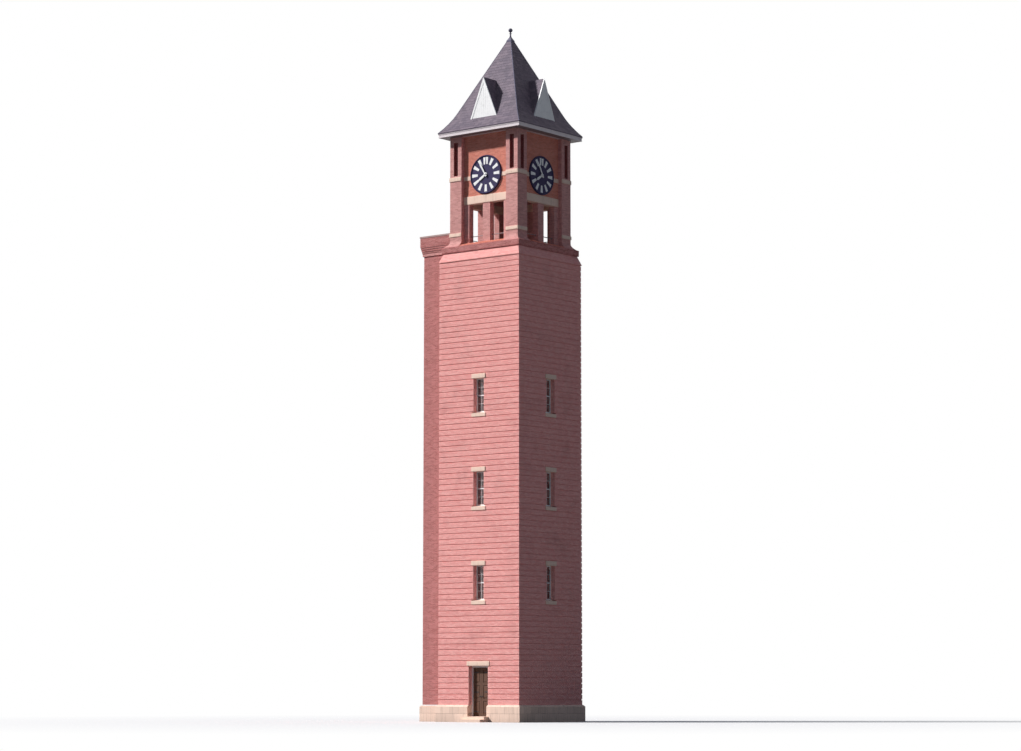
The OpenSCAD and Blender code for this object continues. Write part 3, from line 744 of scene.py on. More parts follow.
def courses(finish, pale, deep, mortar, length, course, joint):
    """Blocks laid in courses on faces of any side: their colour, and 1 in their joints."""
    x, y, z = finish.places()
    nx, _, nz = finish.facing()
    sockets = {
        "Vector": finish.point(x * (1 - nx) + y * nx, z * (1 - nz) + y * nz, 0.0),
        "Color1": rgba(pale),
        "Color2": rgba(deep),
        "Mortar": rgba(mortar),
        "Scale": 1.0,
        "Mortar Size": joint / 2,
        "Mortar Smooth": 0.2,
        "Bias": 0.0,
        "Brick Width": length,
        "Row Height": course,
    }
    pattern = finish.add("ShaderNodeTexBrick", {"offset": 0.5, "squash": 1.0}, sockets)
    return Value(finish, pattern.outputs["Color"]), Value(finish, pattern.outputs["Fac"])


def brickwork(finish, pale, deep, mortar):
    """A wall that shows mortar behind its outer bricks, and plain coursed brickwork on its inner faces."""
    sizes = bpy.context.scene.tower_bricks
    pattern, joints = courses(finish, pale, deep, mortar, sizes.length, sizes.course, sizes.joint)
    x, y, _ = finish.places()
    nx, ny, _ = finish.facing()
    outer = (abs(x) * nx).math("MAXIMUM", abs(y) * ny) > CHAMBER_Q + 0.01
    grain = finish.noise(160)
    colour = finish.shaded(finish.blend(outer, pattern, mortar), (grain, 0.4, 0.8, 0.2))
    finish.surface(colour, 0.9, grain * 0.4 - joints, 0.003, sheen=0.25)


def dressed_stone(finish, stone):
    """Fine sandstone with faint beds, tooling marks and rain streaks."""
    beds = finish.streaks((1.5, 1.5, 22))
    rain = finish.streaks((9, 9, 0.8))
    tooling = finish.noise(240)
    colour = finish.blend(beds, [0.9 * part for part in stone], stone)
    colour = finish.shaded(colour, (rain, 0.52, 0.8, 0.16), (tooling, 0.5, 0.8, 0.1))
    finish.surface(colour, 0.86, tooling + beds, 0.0015, sheen=0.3)


def ashlar(finish, stone):
    """Squared sandstone blocks in two courses, with fine joints, rain streaks and a darker foot."""
    sizes = bpy.context.scene.tower_stones
    deep, dark = [[share * part for part in stone] for share in (0.86, 0.5)]
    pattern, joints = courses(finish, stone, deep, dark, sizes.length, high("plinth").z / 2, sizes.joint)
    rain = finish.streaks((9, 9, 0.8))
    grain = finish.noise(200)
    pits = finish.noise(30)
    damp = (1 - finish.places()[2].between(0.0, 0.35)) * pits
    colour = finish.shaded(pattern, (rain, 0.5, 0.8, 0.2), (pits, 0.55, 0.8, 0.12), (damp, 0, 1, 0.3))
    finish.surface(colour, 0.88, grain * 0.3 + pits * 0.5 - joints * 2, 0.004, sheen=0.3)


def slate_skin(finish, pale, deep):
    """Split slate: each slate has its own tone, with cleft ripples and a dull sheen."""
    ripples = finish.noise(26, 4)
    weather = finish.noise(1.4, 4)
    colour = finish.blend(finish.tone(), deep, pale)
    colour = finish.shaded(colour, (weather, 0.45, 0.8, 0.18), (ripples, 0.5, 0.8, 0.1))
    finish.surface(colour, 0.6 + 0.2 * ripples, ripples, 0.002, sheen=0.3)


def oil_paint(finish, colour):
    """Oil paint on boards: brush marks along the grain and a little grime."""
    grime = finish.noise(3.5, 4)
    brush = finish.streaks((18, 18, 120), 2)
    finish.surface(finish.shaded(colour, (grime, 0.5, 0.8, 0.12)), 0.42 + 0.2 * grime, brush, 0.0006)


def sawn_wood(finish, colour, across):
    """Sawn timber with its grain along one way, given as the number of lines a metre along each axis."""
    grain = finish.streaks(across, 4)
    toned = finish.blend(finish.tone() * 0.35 + grain * 0.65, [0.55 * part for part in colour], colour)
    finish.surface(toned, 0.6 + 0.25 * grain, grain, 0.0012)


def metal_paint(finish, colour, roughness, metallic=0.0, sheen=0.3):
    """Paint on metal, with faint dents and dust."""
    dents = finish.noise(9)
    dust = finish.noise(40)
    toned = finish.shaded(colour, (dust, 0.5, 0.8, 0.12))
    finish.surface(toned, roughness + 0.15 * dust, dents, 0.0015, sheen=sheen, Metallic=metallic)


def window_pane(finish):
    """Clear glass, slightly wavy."""
    waves = finish.noise(5, 2)
    clear = {"Transmission Weight": 1.0, "IOR": 1.45}
    finish.surface(painted(206, 220, 224), 0.03 + 0.04 * waves, waves, 0.001, **clear)


# Each finish with its maker, the names of its colours, and the rest that its maker asks for, in order.
FINISHES = {
    "shaft_brick_skin": (brick_skin, "shaft_pale shaft_deep"),
    "belfry_brick_skin": (brick_skin, "belfry_pale belfry_deep"),
    "base_brick_skin": (brick_skin, "base_pale base_deep"),
    "bay_brick_skin": (brick_skin, "bay_pale bay_deep"),
    "slot_brick_skin": (brick_skin, "slot_brick"),
    "shaft_brickwork": (brickwork, "shaft_pale shaft_deep mortar"),
    "belfry_brickwork": (brickwork, "belfry_pale belfry_deep mortar"),
    "base_brickwork": (brickwork, "base_pale base_deep mortar"),
    "dressed_sandstone": (dressed_stone, "stone"),
    "weathered_sandstone": (dressed_stone, "capstone"),
    "plinth_sandstone": (ashlar, "stone"),
    "split_slate": (slate_skin, "slate_pale slate_deep"),
    "white_oil_paint": (oil_paint, "white"),
    "fascia_oil_paint": (oil_paint, "fascia"),
    "soffit_oil_paint": (oil_paint, "soffit"),
    "navy_enamel": (metal_paint, "enamel", 0.6, 0.0, 0.1),
    "white_sheet_paint": (metal_paint, "white", 0.4),
    "dark_iron": (metal_paint, "iron", 0.5),
    "rail_paint": (metal_paint, "rail", 0.5),
    "sheet_lead": (metal_paint, "lead", 0.55, 0.3),
    "oiled_oak": (sawn_wood, "oak", (90, 90, 7)),
    "pine_boards": (sawn_wood, "boards", (6, 70, 60)),
    "wavy_glass": (window_pane, ""),
}


def finish_of(name):
    """The material of this name, made the first time that it is asked for."""
    if name in bpy.data.materials:
        return bpy.data.materials[name]
    maker, shades, *rest = FINISHES[name]
    finish = Finish(name)
    colours = [getattr(bpy.context.scene.tower_colours, shade) for shade in shades.split()]
    maker(finish, *colours, *rest)
    return finish.material


PLAIN_FINISHES = {
    "shaft_brick": "shaft_brickwork",
    "belfry_brick": "belfry_brickwork",
    "dressed_stone": "dressed_sandstone",
    "floor_boards": "pine_boards",
    "joinery_paint": "white_oil_paint",
    "door_timber": "oiled_oak",
    "window_pane": "wavy_glass",
    "iron": "dark_iron",
    "dial_enamel": "navy_enamel",
    "mark_paint": "white_sheet_paint",
    "hand_paint": "white_sheet_paint",
    "roof_slate": "split_slate",
    "roof_metal": "sheet_lead",
}
OWN_FINISHES = {
    "plinth": "plinth_sandstone",
    "base_course": "base_brickwork",
    "chimney_stack": "base_brickwork",
    "chimney_head": "base_brickwork",
    "chimney_cap": "weathered_sandstone",
    "eaves": "fascia_oil_paint",
    "guard_rails": "rail_paint",
}


class TOWER_OT_finishes(bpy.types.Operator):
    """Gives each piece of the frame the procedural finish of its material slot"""

    bl_idname = "tower.finishes"
    bl_label = "Finish the frame"

    def execute(self, context):
        for part in frame["record"]["subparts"]:
            name = OWN_FINISHES.get(part["node"], PLAIN_FINISHES[part["material_slot"]])
            materials = NODES[part["node"]].data.materials
            for index in range(len(materials)):
                materials[index] = finish_of(name)
        return {"FINISHED"}


def shaft_openings(normal):
    """The rectangles of a shaft wall that its bricks leave free."""
    framing = ("window_frames", "window_lintels", "window_sills")
    boxes = [box for node in framing for box in front_solids(node)]
    if normal == SIDES["front"]:
        boxes += [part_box("door_frame"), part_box("door_lintel")]
    holes = [(box[0].x, box[1].x, box[0].z, box[1].z) for box in boxes]
    if normal == SIDES["left"]:
        holes.append((-high("chimney_stack").y, -low("chimney_stack").y, 0, high("chimney_stack").z))
    return holes


class TOWER_OT_shaft_bricks(bpy.types.Operator):
    """Lays four courses on each raised band of the shaft and one in each sunk joint"""

    bl_idname = "tower.shaft_bricks"
    bl_label = "Lay the shaft's bricks"

    def execute(self, context):
        lay_sides((Slabs, "shaft_bricks", 0, "shaft_brick_skin", "shaft_brick", self.lay_bands))
        return {"FINISHED"}

    def lay_bands(self, slabs, normal):
        holes = shaft_openings(normal)
        ups = levels("brick_bands") + [high("front_wall").z]
        for foot, top, end in zip(ups[0::2], ups[1::2], ups[2::2]):
            lay_wall(slabs, normal, BAND_Q, -BAND_Q, BAND_Q, foot, top, holes, corners=True)
            lay_wall(slabs, normal, WALL_Q, -WALL_Q, WALL_Q, top, end, holes, corners=True)


class TOWER_OT_coping_bricks(bpy.types.Operator):
    """Lays the sloping coping and the rounded base course under the belfry"""

    bl_idname = "tower.coping_bricks"
    bl_label = "Lay the coping's bricks"

    def execute(self, context):
        lay_sides(
            (Slabs, "coping_bricks", 10, "shaft_brick_skin", "shaft_brick", self.lay_coping),
            (Slabs, "base_bricks", 15, "base_brick_skin", "belfry_brick", self.lay_base),
            (Bars, "rounded_bricks", 20, "base_brick_skin", "belfry_brick", self.lay_rounds),
        )
        return {"FINISHED"}

    def lay_coping(self, slabs, normal):
        line = outline("coping_course")
        for foot, top in zip(line, line[1:]):
            lay_slope(slabs, normal, foot, top, (-foot[0], foot[0]), (-top[0], top[0]))

    def lay_base(self, slabs, normal):
        lay_wall(slabs, normal, BASE_Q, -BASE_Q, BASE_Q, *BASE_FACE, corners=True)

    def lay_rounds(self, rounds, normal):
        """Lays a course of rounded bricks over each rounded edge, under the upright face and over it."""
        sizes = bpy.context.scene.tower_bricks
        foot, top = BASE_FACE
        line = outline("base_course")
        for edge in ([p for p in line if p[1] <= foot + TINY], [p for p in line if p[1] >= top - TINY]):
            reach = min(q for q, _ in edge)
            back = reach - sizes.rounded
            profile = [(q + sizes.proud, up) for q, up in edge] + [(back, edge[-1][1]), (back, edge[0][1])]
            bricks = bricks_in_row(-reach, reach, 0, ())
            for k, (a, b) in enumerate(bricks):
                rounds.add(normal, profile, a, b, (k == 0, k == len(bricks) - 1))


class TOWER_OT_belfry_bricks(bpy.types.Operator):
    """Lays the belfry's bricks: piers with their feet and slots, jambs, mullions, sills and clock walls"""

    bl_idname = "tower.belfry_bricks"
    bl_label = "Lay the belfry's bricks"

    def execute(self, context):
        piers = (self.lay_piers, self.lay_openings)
        bay = (self.lay_clock_wall, self.lay_sill)
        lay_sides(
            (Slabs, "pier_bricks", 30, "belfry_brick_skin", "belfry_brick", *piers),
            # The slots' bricks take a darker red finish that also paints the shade inside the slots.
            (Slabs, "slot_bricks", 35, "slot_brick_skin", "belfry_brick", self.lay_slots),
            (Slabs, "bay_bricks", 40, "bay_brick_skin", "belfry_brick", *bay),
        )
        return {"FINISHED"}

    def lay_piers(self, slabs, normal):
        """Lays both piers of a side, from their spreading feet up, and their cheeks beside the bay."""
        start, end, slot_foot, slot_top, _ = SLOT
        foot_line = [point for point in PIER_LINE if point[1] < EAVES_FOOT - 1]
        stretches = ((foot_line[-1][1], IMPOST[0]), (IMPOST[1], STRING[0]), (STRING[1], EAVES_FOOT))
        for hand in HANDS:
            for foot, top in zip(foot_line, foot_line[1:]):
                ends = [sorted((hand * PIER_IN, hand * q)) for q in (foot[0], top[0])]
                lay_slope(slabs, normal, foot, top, *ends)
            a, b = sorted((hand * PIER_IN, hand * PIER_Q))
            hole = (*sorted((hand * start, hand * end)), slot_foot, slot_top)
            for foot, top in stretches:
                lay_wall(slabs, normal, PIER_Q, a, b, foot, top, (hole,))
        for way in HANDS:
            lay_cheek(slabs, normal, way, -way * PIER_IN, BAY_Q, PIER_Q, SILL_TOP, EAVES_FOOT)

    def lay_slots(self, slabs, normal):
        """Lays the backs and the cheeks of the slots in both piers of a side."""
        start, end, foot, top, back = SLOT
        for a, b in ((start, end), (-end, -start)):
            lay_wall(slabs, normal, back, a, b, foot, top)
            for way, at in ((1, a), (-1, b)):
                lay_cheek(slabs, normal, way, at, back, PIER_Q, foot, top)

    def lay_clock_wall(self, slabs, normal):
        for foot, top in ((LINTEL_TOP, STRING[0]), (STRING[1], EAVES_FOOT)):
            lay_wall(slabs, normal, BAY_Q, -PIER_IN, PIER_IN, foot, top)

    def lay_openings(self, slabs, normal):
        """Lays the mullion and the jambs of a side's two openings."""
        for a, b in ((-PIER_IN, -JAMB_IN), (-MULLION, MULLION), (JAMB_IN, PIER_IN)):
            lay_wall(slabs, normal, BAY_Q, a, b, SILL_TOP, LINTEL_FOOT)
        for q in (-JAMB_IN, MULLION):
            for way in (1, -1):
                lay_cheek(slabs, normal, way, way * q, CHAMBER_Q, BAY_Q, SILL_TOP, LINTEL_FOOT)

    def lay_sill(self, slabs, normal):
        """Lays bricks on edge, side by side, over the sill's nose and up its slope in two rows."""
        sizes = bpy.context.scene.tower_bricks
        nose_q = high("belfry_sills").x
        nose_top = [up for up in levels("belfry_sills") if up < SILL_TOP - NEAR][-1]
        middle = ((nose_q + BAY_Q) / 2, (nose_top + SILL_TOP) / 2)
        line = [(nose_q, low("belfry_sills").z), (nose_q, nose_top), middle, (BAY_Q, SILL_TOP)]
        count = round(2 * PIER_IN / sizes.on_edge)
        pitch = 2 * PIER_IN / count
        for foot, top in zip(line, line[1:]):
            for k in range(count):
                a = -PIER_IN + k * pitch + sizes.joint / 2
                ends = (a, a + pitch - sizes.joint)
                slabs.add(strip(normal, foot, top, ends, ends), sizes.proud, sizes.worn)


class TOWER_OT_chimney_bricks(bpy.types.Operator):
    """Lays the chimney's bricks, up to its corbelled head"""

    bl_idname = "tower.chimney_bricks"
    bl_label = "Lay the chimney's bricks"

    def execute(self, context):
        first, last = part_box("chimney_band")
        slabs = Slabs(seed=51)
        self.lay_ring(slabs, first, last, first.z, last.z)
        place(slabs.mesh("chimney_band_bricks"), "belfry_brick_skin")
        first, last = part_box("chimney_stack")
        slabs = Slabs(seed=50)
        self.lay_ring(slabs, first, last, first.z, last.z)
        ups = levels("chimney_head")
        for foot, top in zip(ups, ups[1:]):
            below = [corner for corner in corners_of("chimney_head") if corner.z < foot + NEAR]
            first = Vector((min(p.x for p in below), min(p.y for p in below), 0))
            last = Vector((0, max(p.y for p in below), 0))
            self.lay_ring(slabs, first, last, foot, top)
        place(slabs.mesh("chimney_bricks"), "base_brick_skin")
        return {"FINISHED"}

    def lay_ring(self, slabs, first, last, foot, top):
        """Lays the three free sides of a stretch of the chimney."""
        inner = -PIER_Q if foot > high("base_course").z else -WALL_Q
        lay_wall(slabs, SIDES["front"], -first.y, first.x, inner, foot, top, corners=True)
        lay_wall(slabs, SIDES["left"], -first.x, -last.y, -first.y, foot, top, corners=True)
        lay_wall(slabs, SIDES["back"], last.y, -inner, -first.x, foot, top, corners=True)


def point_on(line, distance):
    """The point at a distance along a line of points."""
    for start, end in zip(line, line[1:]):
        step = math.dist(start, end)
        if distance <= step or end == line[-1]:
            share = min(1, distance / step)
            return (start[0] + (end[0] - start[0]) * share, start[1] + (end[1] - start[1]) * share)
        distance -= step


def gablet_half(up):
    """Half the width of a gablet at a height."""
    return GABLET_HALF * (GABLET_TOP - up) / (GABLET_TOP - GABLET_FOOT)


def hidden_by_gablet(point, along):
    """Whether a place on the roof lies inside a gablet, well past the foot of its slates."""
    behind, past = 0.1, 0.3
    return point[0] < PIER_Q - behind and abs(along) < gablet_half(point[1]) - past


def roof_q(up):
    """The roof's distance from the axis at a height."""
    for (q0, z0), (q1, z1) in zip(ROOF_LINE, ROOF_LINE[1:]):
        if z0 < z1 and z0 <= up <= z1:
            return q0 + (q1 - q0) * (up - z0) / (z1 - z0)
    return ROOF_LINE[-1][0]


class TOWER_OT_roof_slates(bpy.types.Operator):
    """Hangs the slates on the four flared slopes, cut at the hips"""

    bl_idname = "tower.roof_slates"
    bl_label = "Hang the roof's slates"

    def execute(self, context):
        lay_sides((Slabs, "roof_slates", 60, "split_slate", "roof_slate", self.hang_slope))
        return {"FINISHED"}

    def hang_slope(self, slabs, normal):
        """Hangs a slope's slates in courses from hip to hip, and none where a gablet hides them."""
        sizes = bpy.context.scene.tower_slates
        length = sum(math.dist(start, end) for start, end in zip(SLOPE_LINE, SLOPE_LINE[1:]))
        count = round(length / sizes.gauge)
        gauge = length / count
        pitch = sizes.width + sizes.gap
        tail_lift = 2.2 * sizes.thickness
        lift = (tail_lift, tail_lift, sizes.thickness, sizes.thickness)
        for course in range(count):
            tail = point_on(SLOPE_LINE, course * gauge)
            head = point_on(SLOPE_LINE, min(length, (course + 1) * gauge + sizes.lap))
            reach = math.ceil(tail[0] / pitch) + 1
            for k in range(-reach, reach + 1):
                a = (k - 0.5 * (course % 2)) * pitch
                b = a + sizes.width
                wide_enough = min(b, tail[0]) - max(a, -tail[0]) >= LEAST_SLATE
                if wide_enough and not hidden_by_gablet(tail, (a + b) / 2):
                    ends = [held((a, b), (-q, q)) for q, _ in (tail, head)]
                    slabs.add(strip(normal, tail, head, *ends), lift)


class TOWER_OT_gablets(bpy.types.Operator):
    """Clads the gablets: slated sides, upright white boards and barge boards along the edges"""

    bl_idname = "tower.gablets"
    bl_label = "Clad the gablets"

    def execute(self, context):
        lay_sides(
            (Slabs, "gablet_slates", 70, "split_slate", "roof_slate", self.hang_sides),
            (Slabs, "gablet_planks", 80, "white_oil_paint", "joinery_paint", self.nail_boards),
        )
        return {"FINISHED"}

    def hang_sides(self, slabs, normal):
        """Hangs both slated sides, in courses that run from behind the board back into the roof. A slate
        is as many courses high as height says."""
        sizes = bpy.context.scene.tower_slates
        height, behind, into_roof = 1.35, 0.05, 0.03
        rise = GABLET_TOP - GABLET_FOOT
        count = round(math.hypot(rise, GABLET_HALF) / sizes.gauge)
        tail_lift = 2 * sizes.thickness
        lift = (tail_lift, tail_lift, sizes.thickness, sizes.thickness)
        for hand in HANDS:
            for course in range(count):
                shares = (course / count, min(1, (course + height) / count))
                lines = [(gablet_half(up), up) for up in (GABLET_FOOT + rise * share for share in shares)]
                back = min(roof_q(up) for _, up in lines) - into_roof
                for near, far in self.slates_in_row(sizes, PIER_Q - behind, back, course):
                    ends = sorted((-hand * near, -hand * far))
                    slabs.add(strip(rightward(normal) * hand, *lines, ends, ends), lift)

    def slates_in_row(self, sizes, front, back, course):
        """The slates of one course, as (near, far), from the front to the back. The top course, too short
        for a slate, has none."""
        shortest = 0.05
        if front - back < shortest:
            return []
        pitch = sizes.width + sizes.gap
        start = front - 0.5 * (course % 2) * pitch
        pieces = [(front, start + sizes.gap)] if course % 2 else []
        while start > back:
            pieces.append((start, max(back, start - sizes.width)))
            start -= pitch
        return [(near, far) for near, far in pieces if near - far > LEAST_SLATE]

    def nail_boards(self, planks, normal):
        """Nails upright boards over the gablet's face, and a barge board along each edge."""
        boards = bpy.context.scene.tower_boards
        under_edge, shortest = 0.02, 0.05
        foot, apex, half = GABLET_FOOT, GABLET_TOP, GABLET_HALF
        count = 2 * round(half / boards.width)
        pitch = 2 * half / count
        for k in range(count):
            a = -half + k * pitch + boards.gap / 2
            b = a + pitch - boards.gap
            tops = [apex - (apex - foot) * abs(along) / half - under_edge for along in (a, b)]
            if max(tops) >= foot + shortest:
                corners = [(a, foot), (b, foot), (b, max(tops[1], foot)), (a, max(tops[0], foot))]
                self.nail(planks, normal, corners, boards.proud, BOARD_BEVEL)
        drop = boards.barge * math.hypot(apex - foot, half) / half
        for end, first, second in ((-half, 0, drop), (half, drop, 0)):
            corners = [(end, foot - first), (end, foot - second), (0, apex - second), (0, apex - first)]
            self.nail(planks, normal, corners, 2.2 * boards.proud, 3 * BOARD_BEVEL)

    def nail(self, planks, normal, corners, thick, bevel):
        planks.add([spot(normal, PIER_Q, along, up) for along, up in corners], thick, bevel)


class TOWER_OT_eaves_boards(bpy.types.Operator):
    """Boards the soffit and runs a moulding along the fascia's top and foot"""

    bl_idname = "tower.eaves_boards"
    bl_label = "Board the eaves"

    def execute(self, context):
        boards = context.scene.tower_boards
        count = round((EAVES_Q - PIER_Q) / boards.soffit)
        width = (EAVES_Q - PIER_Q) / count
        soffit = Slabs(seed=90)
        trim = Bars(seed=91)
        for normal in SIDES.values():
            for k in range(count):
                inner = PIER_Q + k * width + boards.gap / 2
                outer = inner + width - boards.gap
                edges = ((inner, EAVES_FOOT), (outer, EAVES_FOOT))
                corners = strip(normal, *edges, (-inner, inner), (-outer, outer))
                soffit.add(corners, boards.proud * 0.5, BOARD_BEVEL)
            for level, outward in ((EAVES_TOP, CROWN), (EAVES_FOOT, BEAD)):
                profile = [(EAVES_Q + out, level + up) for out, up in outward]
                trim.add(normal, profile, -EAVES_Q, EAVES_Q, (True, True))
        # The soffit boards take a dark paint that paints the shade under the eaves.
        place(soffit.mesh("soffit_boards"), "soffit_oil_paint")
        place(trim.mesh("fascia_mouldings"), "fascia_oil_paint")
        return {"FINISHED"}


class TOWER_OT_stones(bpy.types.Operator):
    """Faces the lintels, the imposts and the string course with dressed stones"""

    bl_idname = "tower.stones"
    bl_label = "Face the stones"

    def execute(self, context):
        stones = Stones(seed=7)
        out_q = high("impost_stones").x
        for normal in SIDES.values():
            for first, last in front_solids("belfry_lintels"):
                stones.face(normal, -first.y, -PIER_IN, PIER_IN, first.z, last.z, LINTEL_STONE)
            for node in ("impost_stones", "string_course"):
                for hand in HANDS:
                    ends = sorted((hand * PIER_IN, hand * out_q))
                    stones.face(normal, out_q, *ends, *span(node), IMPOST_STONE)
            for first, last in front_solids("window_lintels"):
                stones.face(normal, -first.y, first.x, last.x, first.z, last.z, last.x - first.x)
        first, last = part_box("door_lintel")
        stones.face(SIDES["front"], -first.y, first.x, last.x, first.z, last.z, LINTEL_STONE)
        place(stones.mesh("dressed_stones"), "dressed_sandstone")
        return {"FINISHED"}


class TOWER_OT_clock_fittings(bpy.types.Operator):
    """Adds the bolts of the dials' rims and the boss on each minute hand"""

    bl_idname = "tower.clock_fittings"
    bl_label = "Fit the clocks"

    def execute(self, context):
        rim_face = high("clock_dials").x
        bolts_in = 0.037
        bolts = Turnings()
        for side, normal in SIDES.items():
            for k in range(RIM_BOLTS):
                angle = 2 * math.pi * (k + 0.5) / RIM_BOLTS
                out = rightward(normal) * math.sin(angle) + UP * math.cos(angle)
                foot = normal * (rim_face - 0.002) + UP * DIAL_Z + out * (DIAL_R - bolts_in)
                bolts.add(foot, normal, BOLT, 8)
            hand = f"minute_hand_{side}"
            tip = max(normal.dot(corner) for corner in corners_of(hand))
            boss = Turnings()
            boss.add(normal * (tip - 0.001) + UP * DIAL_Z, normal, BOSS, 32)
            place(boss.mesh(f"minute_boss_{side}"), "white_sheet_paint", hand, True)
        place(bolts.mesh("rim_bolts"), "navy_enamel")
        return {"FINISHED"}


class TOWER_OT_windows(bpy.types.Operator):
    """Adds the glazing bars in the shaft windows' lights"""

    bl_idname = "tower.windows"
    bl_label = "Glaze the windows"

    def execute(self, context):
        bars = Slabs(seed=100)
        panes = front_solids("window_glass")
        half, proud, bevel = 0.012, 0.022, 0.006
        for normal in SIDES.values():
            for first, last in panes:
                middle = (first.z + last.z) / 2
                across = (middle - half, middle + half)
                upright = (-half, half, first.z, last.z)
                for bar in (upright, (first.x, -half, *across), (half, last.x, *across)):
                    bars.add(rectangle(normal, -first.y, *bar), proud, bevel)
        place(bars.mesh("glazing_bars"), "white_oil_paint")
        return {"FINISHED"}


class TOWER_OT_door(bpy.types.Operator):
    """Adds the door's raised panels, strap hinges and knobs"""

    bl_idname = "tower.door"
    bl_label = "Hang the door's fittings"

    def execute(self, context):
        normal = SIDES["front"]
        first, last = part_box("door_leaf")
        face_q = -first.y
        stile, margin, sunk, rise, slope = 0.15, 0.04, 0.03, 0.026, 0.03
        hinge, half_width, thick, bevel = 0.36, 0.025, 0.006, 0.004
        knob_in = 0.07
        panels = Slabs(seed=110)
        irons = Slabs(seed=111)
        knobs = Turnings()
        leaves = sorted(solids("door_leaf"), key=lambda box: box[0].x)
        rails = [up for up in levels("door_leaf") if first.z + 0.05 < up < last.z - 0.05]
        for (leaf_first, leaf_last), inward in zip(leaves, (1, -1)):
            outer, inner = (leaf_first.x, leaf_last.x)[::inward]
            middle = (leaf_first.x + leaf_last.x) / 2
            half = (leaf_last.x - leaf_first.x) / 2 - stile
            for foot, top in zip(rails[0::2], rails[1::2]):
                panel = (middle - half, middle + half, foot + margin, top - margin)
                panels.add(rectangle(normal, face_q - sunk, *panel), rise, slope)
            ends = sorted((outer, outer + inward * hinge))
            for share in (0.1, 0.5, 0.9):
                up = leaf_first.z + share * (leaf_last.z - leaf_first.z)
                strap = (*ends, up - half_width, up + half_width)
                irons.add(rectangle(normal, face_q, *strap), thick, bevel)
            knobs.add(spot(normal, face_q, inner - knob_in * inward, KNOB_Z), normal, KNOB)
        place(panels.mesh("door_panels"), "oiled_oak")
        place(irons.mesh("door_hinges"), "dark_iron")
        place(knobs.mesh("door_knobs"), "dark_iron", smooth=True)
        return {"FINISHED"}


class TOWER_OT_metalwork(bpy.types.Operator):
    """Adds the guard rails' flanges, the hips' lead rolls and the finial's collars"""

    bl_idname = "tower.metalwork"
    bl_label = "Fit the metalwork"

    def execute(self, context):
        flanges = Turnings()
        for first, last in front_solids("guard_rails"):
            centre = (first + last) / 2
            for normal in SIDES.values():
                for end, way in ((first.x, 1), (last.x, -1)):
                    inward = rightward(normal) * way
                    foot = spot(normal, -centre.y, end, centre.z) + inward * 0.006
                    flanges.add(foot, inward, FLANGE, 20)
        place(flanges.mesh("rail_flanges"), "rail_paint")
        rolls = Turnings()
        radius, overlap = 0.028, 0.004
        for x, y in ((1, -1), (1, 1), (-1, 1), (-1, -1)):
            line = [Vector((x * q, y * q, up)) for q, up in SLOPE_LINE]
            for start, end in zip(line, line[1:]):
                way = end - start
                rolls.add(start, way, [(radius, -overlap), (radius, way.length + overlap)], 10)
        place(rolls.mesh("hip_rolls"), "sheet_lead")
        collars = Turnings()
        foot, top = span("finial")
        for share in (0.38, 0.62):
            collars.add(UP * (foot + share * (top - foot)), UP, COLLAR, 32)
        place(collars.mesh("finial_collars"), "sheet_lead", smooth=True)
        return {"FINISHED"}


def round_tower(turn, level, up):
    """The place at a turn round the tower from its front, at a level distance and a height."""
    return Vector((level * math.sin(turn), -level * math.cos(turn), up))


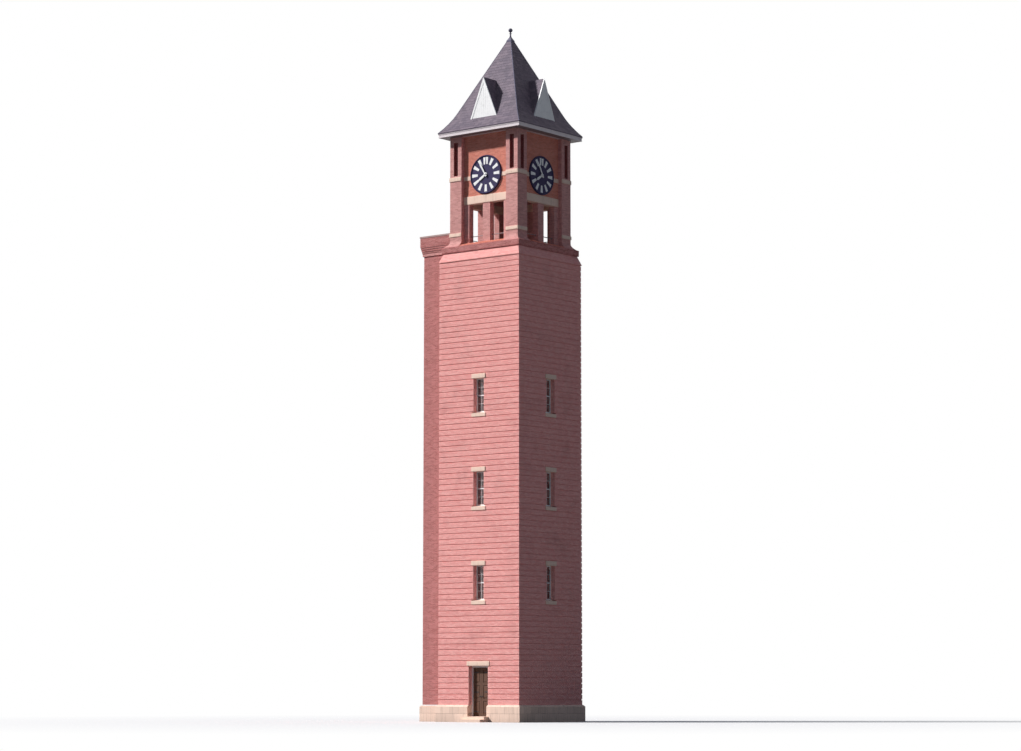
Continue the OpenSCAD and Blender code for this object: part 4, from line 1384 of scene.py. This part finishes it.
class TOWER_OT_stage(bpy.types.Operator):
    """Sets the floor, the backdrop, the lights and the camera"""

    bl_idname = "tower.stage"
    bl_label = "Set the stage"

    def execute(self, context):
        stage = context.scene.tower_stage
        self.lay_floor()
        self.light(context, stage)
        data = bpy.data.cameras.new("camera")
        data.lens = stage.lens
        data.clip_end = 2000
        camera = linked("camera", data)
        camera.location = round_tower(stage.azimuth, stage.distance, stage.eye)
        way = Vector((0, 0, stage.aim)) - camera.location
        camera.rotation_euler = way.to_track_quat("-Z", "Y").to_euler()
        context.scene.camera = camera
        context.scene.view_settings.view_transform = "Standard"
        return {"FINISHED"}

    def lay_floor(self):
        """Lays a floor that turns white away from the tower and throws little light back on it."""
        reach = 600
        mesh = bpy.data.meshes.new("floor")
        corners = [(-reach, -reach, 0), (reach, -reach, 0), (reach, reach, 0), (-reach, reach, 0)]
        mesh.from_pydata(corners, [], [(0, 1, 2, 3)])
        finish = Finish("pale_floor")
        finish.surface((0.74, 0.74, 0.75), 0.9)
        x, y, _ = finish.places()
        away = (x * x + y * y).math("SQRT")
        glow = finish.node("ShaderNodeEmission", {}, {"Color": (1, 1, 1, 1), "Strength": 1.0})
        dull = finish.node("ShaderNodeBsdfDiffuse", {}, {"Color": (0.15, 0.15, 0.15, 1)})
        pale = Value(finish, finish.shader.outputs[0])
        ground = finish.mix_shaders(finish.rays("Diffuse"), pale, dull)
        near, far = 9, 45
        share = away.between(near, far) * finish.rays("Camera", "Glossy", "Transmission")
        finish.fill(finish.output.inputs[0], finish.mix_shaders(share, ground, glow))
        mesh.materials.append(finish.material)
        floor = linked("floor", mesh)

    def light(self, context, stage):
        """Lights the tower with a key light and a pale blue fill, before a white backdrop."""
        world = bpy.data.worlds.new("studio")
        sky = Nodes(world)
        fill = sky.node("ShaderNodeBackground", {}, {"Color": (0.62, 0.76, 1.0, 1), "Strength": 0.185})
        backdrop = sky.node("ShaderNodeBackground", {}, {"Color": (1, 1, 1, 1)})
        seen = sky.rays("Camera", "Glossy", "Transmission")
        sky.add("ShaderNodeOutputWorld", {}, {0: sky.mix_shaders(seen, fill, backdrop)})
        context.scene.world = world
        lamp = bpy.data.lights.new("key_light", "SUN")
        lamp.energy = 5.05
        lamp.angle = math.radians(4)
        lamp.color = (1.0, 0.98, 0.96)
        towards = round_tower(-stage.sun_side, math.cos(stage.sun_height), math.sin(stage.sun_height))
        linked("key_light", lamp).rotation_euler = towards.to_track_quat("Z", "Y").to_euler()


STEPS = (
    TOWER_OT_finishes,
    TOWER_OT_shaft_bricks,
    TOWER_OT_coping_bricks,
    TOWER_OT_belfry_bricks,
    TOWER_OT_chimney_bricks,
    TOWER_OT_stones,
    TOWER_OT_roof_slates,
    TOWER_OT_gablets,
    TOWER_OT_eaves_boards,
    TOWER_OT_clock_fittings,
    TOWER_OT_windows,
    TOWER_OT_door,
    TOWER_OT_metalwork,
    TOWER_OT_stage,
)


class TOWER_PT_panel(bpy.types.Panel):
    """Lists the sizes, the colours and the steps that dress the tower"""

    bl_idname = "TOWER_PT_panel"
    bl_label = "Clock tower"
    bl_space_type = "VIEW_3D"
    bl_region_type = "UI"
    bl_category = "Clock tower"

    def draw(self, context):
        for name, group in SETTINGS.items():
            box = self.layout.box()
            for setting in group.__annotations__:
                box.prop(getattr(context.scene, name), setting)
        for step in STEPS:
            self.layout.operator(step.bl_idname)


def register():
    for group in (*SETTINGS.values(), *STEPS, TOWER_PT_panel):
        bpy.utils.register_class(group)
    for name, group in SETTINGS.items():
        setattr(bpy.types.Scene, name, PointerProperty(type=group))


def unregister():
    for name in SETTINGS:
        delattr(bpy.types.Scene, name)
    for group in reversed((*SETTINGS.values(), *STEPS, TOWER_PT_panel)):
        bpy.utils.unregister_class(group)


def main():
    register()
    for step in STEPS:
        space, name = step.bl_idname.split(".")
        getattr(getattr(bpy.ops, space), name)()


if __name__ == "__main__":
    main()
